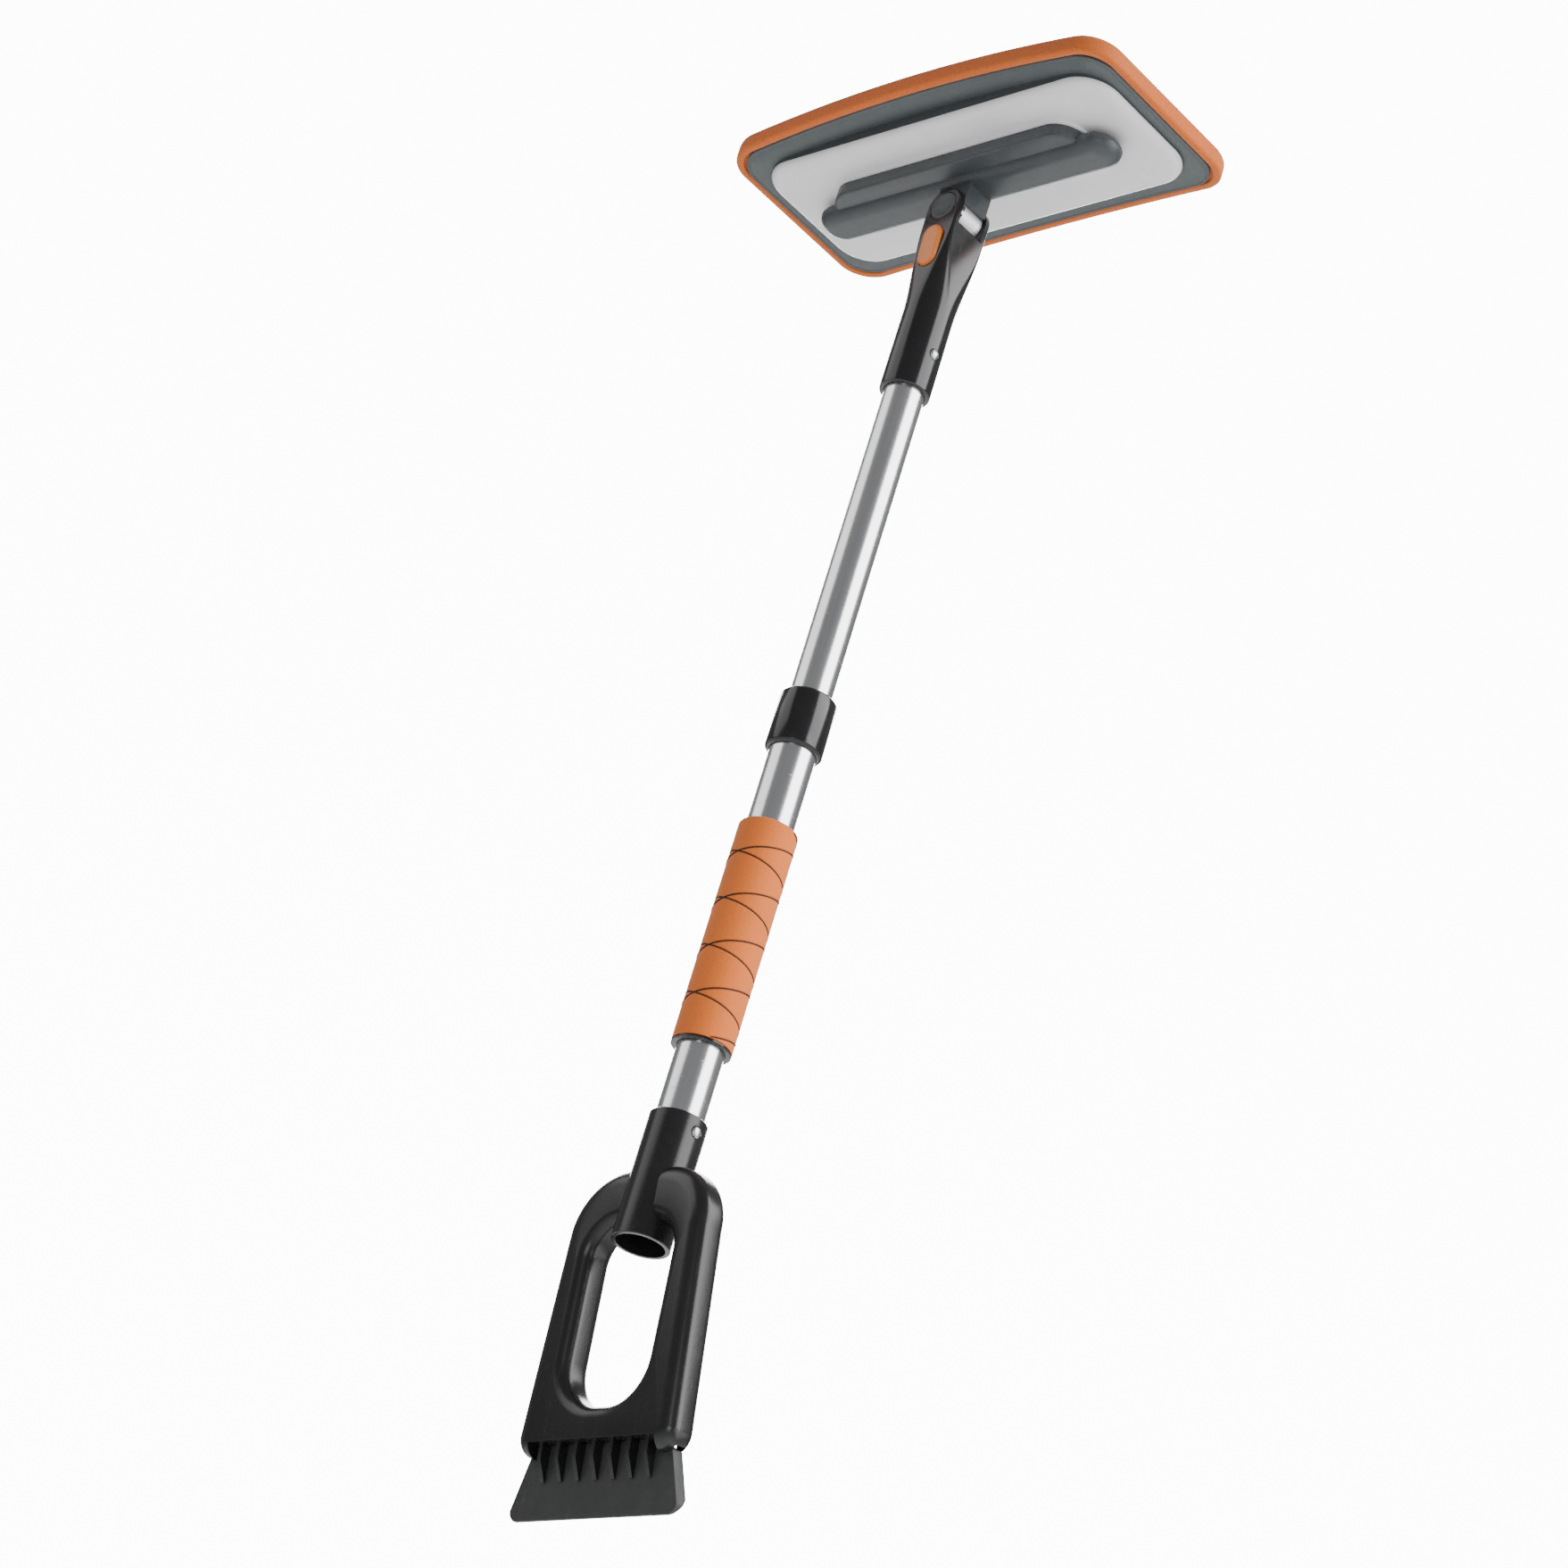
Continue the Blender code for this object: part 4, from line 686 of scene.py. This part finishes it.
plateBack = head["plateBack"]
plateFront = plateBack + head["plateThick"]
rows = [(13.0 * mm, plateBack + 0.02 * mm, 0), (9.0 * mm, plateBack, 0),
    (6.0 * mm, plateBack + 0.05 * mm, 0), (4.0 * mm, plateBack + 0.25 * mm, 0)]
rows += [(2.4 * mm, plateBack + 0.65 * mm, 0), (1.2 * mm, plateBack + 1.25 * mm, 0),
    (0.4 * mm, plateBack + 2.1 * mm, 0), (0.0, plateFront - 0.9 * mm, 0), (0.0, plateFront, 0)]
backPlate = makePiece("backPlate",
    *headLayer(rows, head["plateX"], head["plateY"], head["plateCorner"], 0.0), silverPlastic, "head",
    ["back_plate"], "back_plate")
plinth = []
for inset, height in ((0.0, plateBack + 2 * mm), (0.0, plateBack - head["plinth"] + 0.4 * mm),
    (0.12 * mm, plateBack - head["plinth"] + 0.12 * mm), (0.4 * mm, plateBack - head["plinth"])):
    outline = boxOutline(head["plinthX"] - inset, head["plinthY"] - inset, head["plinthCorner"] - inset, 20)
    plinth.append([(x, y, pivot + height) for x, y in outline])
changes = [("UNION", tool(*lofted(plinth)))]
for place in screwPlaces():
    changes.append(("DIFFERENCE", rodTool(screw["hole"], pivot, pivot + plateFront + 4 * mm, "Z", place, 24)))
combined(backPlate, changes)

seat = plateFront + fitGap
rimLevel = seat - fitGap
back = rimLevel + head["backThick"]
rows = [(14.0 * mm, rimLevel, 1), (2.6 * mm, rimLevel, 1), (2.2 * mm, rimLevel + 0.28 * mm, 1),
    (1.7 * mm, rimLevel + 0.3 * mm, 1), (1.3 * mm, rimLevel, 1), (0.5 * mm, rimLevel + 0.1 * mm, 1),
    (0.0, rimLevel + 0.6 * mm, 1), (0.0, back, 1)]
backing = makePiece("foamBacking",
    *headLayer(rows, head["backX"], head["backY"], head["backCorner"], head["bow"]), greyPlastic, "head",
    ["foam_backing"], "foam_backing")
rows = [(0, seat, 0), (0, back - 1.0 * mm, 1)]
changes = [("UNION", tool(*headLayer(rows, head["plateX"], head["plateY"], head["plateCorner"], 0.0)))]
well = back + head["arch"] * 0.6 - 1.6 * mm
low, high = pivot + well, pivot + back + 8 * mm
changes += [("DIFFERENCE", rodTool(screw["hole"], pivot, high, "Z", place, 24)) for place in screwPlaces()]
changes += [("DIFFERENCE", rodTool(screw["well"], low, high, "Z", place, 32)) for place in screwPlaces()]
combined(backing, changes)


def frontChannels(x, y, inset):
    # shallow drain channels that run round the working face
    near = min(abs(inset - level * mm) for level in head["channels"])
    return head["channelDepth"] * math.exp(-((near / head["channelHalf"]) ** 4))


lip = head["lip"]
size = (head["backX"] + lip, head["backY"] + lip, head["backCorner"] + lip / 3)
pocket = lip - fitGap
wall = back + head["side"]
rows = [(pocket + 10 * mm, back + fitGap, 1), (pocket, back + fitGap, 1),
    (pocket, rimLevel + 1.0 * mm, 1), (pocket - 0.4 * mm, rimLevel + 0.6 * mm, 1)]
rows += [(3.0 * mm, rimLevel + 0.5 * mm, 1), (1.6 * mm, rimLevel + 0.65 * mm, 1),
    (0.6 * mm, rimLevel + 1.1 * mm, 1), (0.1 * mm, rimLevel + 1.9 * mm, 1), (0.0, rimLevel + 2.8 * mm, 1),
    (0.0, wall - 1.0 * mm, 1)]
for step in range(1, 15):
    turn = step / 14 * math.pi / 2
    rows.append((18 * mm * (1 - math.cos(turn)),
        wall + head["crown"] * math.sin(turn) - 0.3 * mm * (1 - step / 14), 1))
inset = 19 * mm
while inset < size[1] - 1 * mm:
    rows.append((inset, wall + head["crown"], 1))
    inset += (0.5 * mm)
foamPad = makePiece("foamPad", *headLayer(rows, *size, head["bow"], frontChannels), padFoam, "head",
    ["foam_pad"], "foam_pad", 60)
print("head layers ready")

# Pivot bracket: a base, a longer half-round ridge and the knuckle
bracket = {"halfX": 87 * mm, "halfY": 23.5 * mm, "backY": 10.5 * mm, "backCorner": 8.5 * mm,
    "corner": 16 * mm, "height": 9 * mm, "ridgeX": 105 * mm, "ridgeY": 13 * mm, "ridgeHeight": 13.3 * mm,
    "widest": 5.7 * mm, "screwDepth": 5.3 * mm}
top = plateBack - fitGap
baseSeat = top - head["plinth"]
shoulder = top - bracket["height"]
loops = []
for inset, height in ((0, baseSeat), (0, baseSeat - 4 * mm), (0, shoulder + 1.6 * mm),
    (0.25 * mm, shoulder + 0.8 * mm), (0.8 * mm, shoulder + 0.25 * mm), (1.6 * mm, shoulder)):
    outline = outlineOf(bracket["halfX"] - inset, bracket["halfX"] - inset, bracket["backY"] - inset,
        inset - bracket["halfY"], bracket["backCorner"], bracket["corner"] - inset, 20)
    loops.append([(x, y, pivot + height) for x, y in outline])
pivotBracket = makePiece("pivotBracket", *lofted(loops), bracketPlastic, "head", ["pivot_bracket"],
    "pivot_bracket", 30)
widest = top - bracket["widest"]
crown = top - bracket["ridgeHeight"]
loops = []
ridgeRows = [(1.6 * mm, widest + 2.6 * mm), (0.5 * mm, widest + 1.2 * mm)]
for step in range(13):
    turn = step / 12 * math.pi / 2
    ridgeRows.append((8.5 * mm * (1 - math.cos(turn)), widest - (widest - crown) * math.sin(turn)))
for inset, height in ridgeRows:
    outline = boxOutline(bracket["ridgeX"] - inset, bracket["ridgeY"] - inset, bracket["ridgeY"] - inset,
        20)
    loops.append([(x, y, pivot + height) for x, y in outline])
changes = [("UNION", tool(*lofted(loops)))]
knuckle = {"halfX": 11 * mm, "halfY": 9.4 * mm, "bottom": 3.3 * mm, "round": 0.7 * mm, "bore": 9.9 * mm,
    "slotX": 2.8 * mm, "slotTop": 13.3 * mm}
outline = boxOutline(knuckle["halfX"], knuckle["halfY"], knuckle["round"], 5)
changes += [("UNION", tool(*lofted([[(x, y, pivot + z) for x, y in outline]
    for z in (knuckle["bottom"], crown + 3.5 * mm)])))]
changes += [("DIFFERENCE", rodTool(knuckle["bore"], -wide, wide, "Y", (0, 0, pivot), 96))]
halfX = knuckle["slotX"]
changes += [("DIFFERENCE", boxTool((-halfX, -wide, pivot), (halfX, wide, pivot + knuckle["slotTop"])))]
low, high = pivot + baseSeat - bracket["screwDepth"], pivot + top + 4 * mm
changes += [("DIFFERENCE", rodTool(screw["hole"], low, high, "Z", place, 24)) for place in screwPlaces()]
combined(pivotBracket, changes, 30)
print("bracket ready")

# Bracket screws with a cross recess
for index, place in enumerate(screwPlaces(), 1):
    node = f"bracket_screw_{index}"
    low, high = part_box(node)
    profile = [(0, low.z), (1.0 * mm, low.z + 0.1 * mm)]
    level = low.z + 0.5 * mm
    while level < high.z - screw["thick"] - 1.2 * mm:
        profile += [(screw["root"], level), (screw["shank"], level + 0.35 * mm)]
        level += screw["thread"]
    profile += [(screw["shank"], high.z - screw["thick"]), (screw["head"], high.z - screw["thick"]),
        (screw["head"], high.z - 0.7 * mm), (2.4 * mm, high.z - 0.12 * mm), (1.2 * mm, high.z), (0, high.z)]
    piece = makePiece(f"bracketScrew{index}", *lathe(profile, 32, "Z", place), steelMetal, "head", [node],
        node, 30)
    bars = [boxTool((place[0] - a, place[1] - b, high.z - 0.9 * mm),
        (place[0] + a, place[1] + b, high.z + 1 * mm)) for a, b in screw["cross"]]
    combined(piece, [("DIFFERENCE", bar) for bar in bars], 30)

# Scraper, drawn in a plane that leans back from the pole
ringShape = {"top": 31.4 * mm, "bottom": -115 * mm, "halfTop": 46.5 * mm, "halfBottom": 53 * mm,
    "cornerTop": 33 * mm, "cornerBottom": 11 * mm, "front": 12.5 * mm, "back": 7.5 * mm, "bend": 6.2 * mm,
    "outerRound": 9 * mm, "innerRound": 7 * mm, "edgeDepth": 7 * mm, "openTop": 3 * mm,
    "openBottom": -91 * mm, "openHalfTop": 28 * mm, "openHalfBottom": 27.5 * mm, "openCornerTop": 18 * mm,
    "openCornerBottom": 24 * mm, "bar": -108 * mm, "tilt": 9.5, "drop": 60.7 * mm}
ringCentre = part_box("scraper_body")[1].z - ringShape["drop"]
ringTurn = Matrix.Rotation(math.radians(ringShape["tilt"]), 4, "X")
ringFrame = Matrix.Translation((0, 0, ringCentre)) @ ringTurn


def inRing(points):
    return [ringFrame @ Vector(p) for p in points]


def ringBend(height):
    share = max(0.0, height - ringShape["openBottom"]) / (ringShape["top"] - ringShape["openBottom"])
    return ringShape["bend"] * share * share


def ringSurface(steps):
    layers = []
    for side, face in ((-1, ringShape["front"]), (1, ringShape["back"])):
        quarter = []
        for step in range(steps + 1):
            turn = step / steps * math.pi / 2
            quarter.append((ringShape["outerRound"] * (1 - math.cos(turn)),
                ringShape["innerRound"] * (1 - math.cos(turn)),
                side * (face - ringShape["edgeDepth"] * (1 - math.sin(turn)))))
        layers += quarter[::-1] if side < 0 else quarter
    outers, inners = [], []
    for outset, inset, depth in layers:
        outer = outlineOf(ringShape["halfTop"] - outset, ringShape["halfBottom"] - outset,
            ringShape["top"] - outset, ringShape["bottom"] + outset, ringShape["cornerTop"] - outset,
            ringShape["cornerBottom"] - outset, 22)
        inner = outlineOf(ringShape["openHalfTop"] + inset, ringShape["openHalfBottom"] + inset,
            ringShape["openTop"] + inset, ringShape["openBottom"] - inset,
            ringShape["openCornerTop"] + inset, ringShape["openCornerBottom"] + inset, 22)
        outers.append([(x, depth + ringBend(z), z) for x, z in outer])
        inners.append([(x, depth + ringBend(z), z) for x, z in inner])
    count = len(outers[0])
    points = [p for loop in outers + inners for p in loop]
    shift = len(outers) * count
    faces = []
    for step in range(count):
        after = (step + 1) % count
        for level in range(len(outers) - 1):
            base = level * count
            face = (base + step, base + after, base + count + after, base + count + step)
            faces += [face, tuple(corner + shift for corner in face)]
        for base in (0, (len(outers) - 1) * count):
            faces.append((base + step, base + after, base + shift + after, base + shift + step))
    return inRing(points), faces


bladeShape = {"thick": 7.2 * mm, "top": -97 * mm, "neck": -109 * mm, "bottom": -145 * mm,
    "halfNeck": 40 * mm, "halfShoulder": 48 * mm, "halfBottom": 56.5 * mm, "corner": 5.5 * mm,
    "edge": 1.6 * mm, "bevel": 9 * mm}
scraper = {"socket": 15.1 * mm, "bore": 12.75 * mm, "teeth": 7, "pitch": 12 * mm, "tooth": 2.4 * mm,
    "toothBottom": -126.5 * mm, "slot": 3.9 * mm, "slotX": 50.17 * mm, "reliefX": 42.8 * mm,
    "screwZ": -102.5 * mm, "screwX": (-28 * mm, 0, 28 * mm), "socketLength": 69.1 * mm,
    "toothFront": -9.5 * mm, "toothBack": -3.6 * mm, "toothTop": -99.5 * mm, "toothBreak": -116 * mm}
scraperBody = makePiece("scraperBody", *ringSurface(10), scraperPlastic, "handle", ["scraper_body"],
    "scraper_body", 30)
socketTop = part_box("scraper_body")[1].z
socketEnd = socketTop - scraper["socketLength"]
socketProfile = [(0, socketEnd), (scraper["socket"] - 0.4 * mm, socketEnd),
    (scraper["socket"], socketEnd + 0.4 * mm), (scraper["socket"], socketTop - 0.5 * mm),
    (scraper["socket"] - 0.5 * mm, socketTop), (0, socketTop)]
halfX = scraper["reliefX"]
relief = boxTool((-halfX, -wide, ringShape["bottom"] - 5 * mm), (halfX, wide, ringShape["bar"]), inRing)
changes = [("DIFFERENCE", relief), ("UNION", tool(*lathe(socketProfile, 128)))]
for index in range(scraper["teeth"]):
    x = (index - (scraper["teeth"] - 1) / 2) * scraper["pitch"]
    front, rear, tip = scraper["toothFront"], scraper["toothBack"], scraper["toothBottom"]
    outline = [(front, scraper["toothTop"]), (rear, scraper["toothTop"]), (rear, tip), (rear - 1 * mm, tip),
        (front, scraper["toothBreak"])]
    loops = []
    for side in (-scraper["tooth"] / 2, scraper["tooth"] / 2):
        loops.append(inRing([(x + side, y, z) for y, z in outline]))
    changes.append(("UNION", tool(*lofted(loops))))
changes.append(("DIFFERENCE", rodTool(scraper["bore"], socketEnd - 4 * mm, socketTop + 4 * mm,
    segments=128)))
changes.append(("DIFFERENCE", rodTool(snap["hole"], 4 * mm, wide, "X", (0, 0, lowerSnapZ))))
halfX, halfY = scraper["slotX"], scraper["slot"]
slotBox = boxTool((-halfX, -halfY, bladeShape["bottom"]), (halfX, halfY, bladeShape["top"] + fitGap), inRing)
changes.append(("DIFFERENCE", slotBox))
for x in scraper["screwX"]:
    for radius, start in ((screw["hole"], -9.2 * mm), (screw["well"], 5.4 * mm)):
        points, faces = lathe([(0, start), (radius, start), (radius, wide), (0, wide)], 32, "Y",
            (x, 0, scraper["screwZ"]))
        changes.append(("DIFFERENCE", tool(inRing(points), faces)))
combined(scraperBody, changes, 30)

outline = [(bladeShape["halfNeck"], bladeShape["top"]), (-bladeShape["halfNeck"], bladeShape["top"]),
    (-bladeShape["halfNeck"], bladeShape["neck"]),
    (-bladeShape["halfShoulder"], bladeShape["neck"] - 4 * mm)]
steps = 12
outline += outlineOf(bladeShape["halfShoulder"], bladeShape["halfBottom"], bladeShape["neck"],
    bladeShape["bottom"], bladeShape["corner"], bladeShape["corner"], steps)[2 * (steps + 1):]
outline += [(bladeShape["halfShoulder"], bladeShape["neck"] - 4 * mm),
    (bladeShape["halfNeck"], bladeShape["neck"])]
centreZ = (bladeShape["top"] + bladeShape["bottom"]) / 2
loops = []
for y, shrink in ((-3.6, 0.6), (-3.4, 0.2), (-3.0, 0.0), (3.0, 0.0), (3.4, 0.2), (3.6, 0.6)):
    loops.append(inRing([(x * (1 - shrink * mm / (56 * mm)), y * mm,
        centreZ + (z - centreZ) * (1 - shrink * mm / (24 * mm))) for x, z in outline]))
blade = makePiece("scraperBlade", *lofted(loops), bladePlastic, "handle", ["blade"], "blade", 30)
slope = (bladeShape["thick"] - bladeShape["edge"]) / bladeShape["bevel"]
past = 4 * mm
rear = bladeShape["thick"] / 2 + past * slope
front = bladeShape["edge"] - rear
foot = bladeShape["bottom"] - past
wedge = [(rear, bladeShape["bottom"] + bladeShape["bevel"] + past), (front, foot), (rear, foot)]
changes = [("DIFFERENCE", tool(*lofted([inRing([(x, y, z) for y, z in wedge]) for x in (-0.07, 0.07)])))]
for x in scraper["screwX"]:
    points, faces = lathe([(0, -wide), (screw["hole"], -wide), (screw["hole"], wide), (0, wide)], 32, "Y",
        (x, 0, scraper["screwZ"]))
    changes.append(("DIFFERENCE", tool(inRing(points), faces)))
combined(blade, changes, 30)
for index, x in enumerate(scraper["screwX"], 1):
    profile = [(0, -8.6 * mm), (1.0 * mm, -8.5 * mm)]
    level = -8.2 * mm
    while level < 4.4 * mm:
        profile += [(screw["root"], level), (screw["shank"], level + 0.35 * mm)]
        level += screw["thread"]
    profile += [(screw["shank"], 5.7 * mm), (screw["head"], 5.7 * mm), (screw["head"], 6.6 * mm),
        (2.4 * mm, 7.15 * mm), (1.2 * mm, 7.3 * mm), (0, 7.3 * mm)]
    points, faces = lathe(profile, 32, "Y", (x, 0, scraper["screwZ"]))
    piece = makePiece(f"bladeScrew{index}", inRing(points), faces, steelMetal, "handle",
        [f"blade_screw_{index}"], f"blade_screw_{index}", 30)
    bars = []
    for a, b in screw["cross"]:
        low, high = (x - a, 6.4 * mm, scraper["screwZ"] - b), (x + a, 9 * mm, scraper["screwZ"] + b)
        bars.append(boxTool(low, high, inRing))
    combined(piece, [("DIFFERENCE", bar) for bar in bars], 30)
print("scraper ready")

# Studio
floorLevel = -1.9


def flat(name, size, matrix, colour, glow=0.0):
    half = size / 2
    mesh = bpy.data.meshes.new(name)
    mesh.from_pydata([(-half, -half, 0), (half, -half, 0), (half, half, 0), (-half, half, 0)], [],
        [(0, 1, 2, 3)])
    look = Look(name)
    shade = look.noise(1.5, 2.0)
    tint = look.mix(shade * 0.3, colour, darker(colour, 0.985))
    look.finish(Base_Color=tint, Roughness=0.85, Emission_Color=tint, Emission_Strength=glow)
    mesh.materials.append(look.material)
    made = bpy.data.objects.new(name, mesh)
    bpy.context.scene.collection.objects.link(made)
    made.matrix_world = matrix
    return made


def softLight(name, place, target, size, power, colour=(1, 1, 1)):
    lamp = bpy.data.lights.new(name, "AREA")
    lamp.shape = "RECTANGLE"
    lamp.size, lamp.size_y = size
    lamp.energy = power
    lamp.color = colour
    made = bpy.data.objects.new(name, lamp)
    bpy.context.scene.collection.objects.link(made)
    made.location = place
    made.rotation_euler = (Vector(target) - Vector(place)).to_track_quat("-Z", "Z").to_euler()
    return made


# Camera: low, to the front right, looking up and leaning
shot = {"target": (0, 0, 150 * mm), "az": 48.768, "el": -28.445, "distance": 2565.5 * mm, "pan": 0.008,
    "tilt": -1.16, "roll": 17.222, "lens": 113.96}
az, el = math.radians(shot["az"]), math.radians(shot["el"])
target = Vector(shot["target"])
eye = target + shot["distance"] * Vector((math.sin(az) * math.cos(el), -math.cos(az) * math.cos(el),
    math.sin(el)))
ahead = (target - eye).normalized()
across = Vector((math.cos(az), math.sin(az), 0))
upward = across.cross(ahead)
ahead += math.tan(math.radians(shot["pan"])) * across + math.tan(math.radians(shot["tilt"])) * upward
ahead.normalize()
c, s = math.cos(math.radians(shot["roll"])), math.sin(math.radians(shot["roll"]))
side = c * across + s * upward
side = (side - side.dot(ahead) * ahead).normalized()
up = side.cross(ahead)
camera = bpy.data.objects.new("camera", bpy.data.cameras.new("camera"))
camera.data.lens = shot["lens"]
camera.data.sensor_width = 36
camera.data.clip_end = 50
turn = Matrix((side, up, -ahead)).transposed().to_4x4()
camera.matrix_world = Matrix.Translation(eye) @ turn
bpy.context.scene.collection.objects.link(camera)
bpy.context.scene.camera = camera

world = bpy.data.worlds.new("studio")
bpy.context.scene.world = world
world.use_nodes = True
world.node_tree.nodes["Background"].inputs["Color"].default_value = (0.95, 0.95, 0.95, 1)
world.node_tree.nodes["Background"].inputs["Strength"].default_value = 0.22
backdropMatrix = Matrix.Translation(target + ahead * 8.0) @ turn
flat("backdrop", 5.5, backdropMatrix, (0.97, 0.97, 0.97), 13.0)
flat("floor", 40.0, Matrix.Translation((0, 0, floorLevel)), (0.9, 0.9, 0.9))
away = Vector((-math.sin(az), math.cos(az), 0))
middle = (0, 0, 0.1)
softLight("keyLight", 1.7 * across - 0.95 * away + Vector((0, 0, 1.2)), middle, (2.3, 1.8), 78)
softLight("fillLight", -1.9 * across - 0.1 * away + Vector((0, 0, 1.2)), middle, (1.5, 1.8), 13)
softLight("lowLight", target + 1.8 * across - 1.2 * ahead + 0.2 * upward, middle, (1.3, 2.4), 24)
softLight("frontLight", target - 2.4 * ahead + 0.6 * upward - 0.7 * across, (0, 0, 0.3), (0.9, 0.9), 9)
print("studio ready")
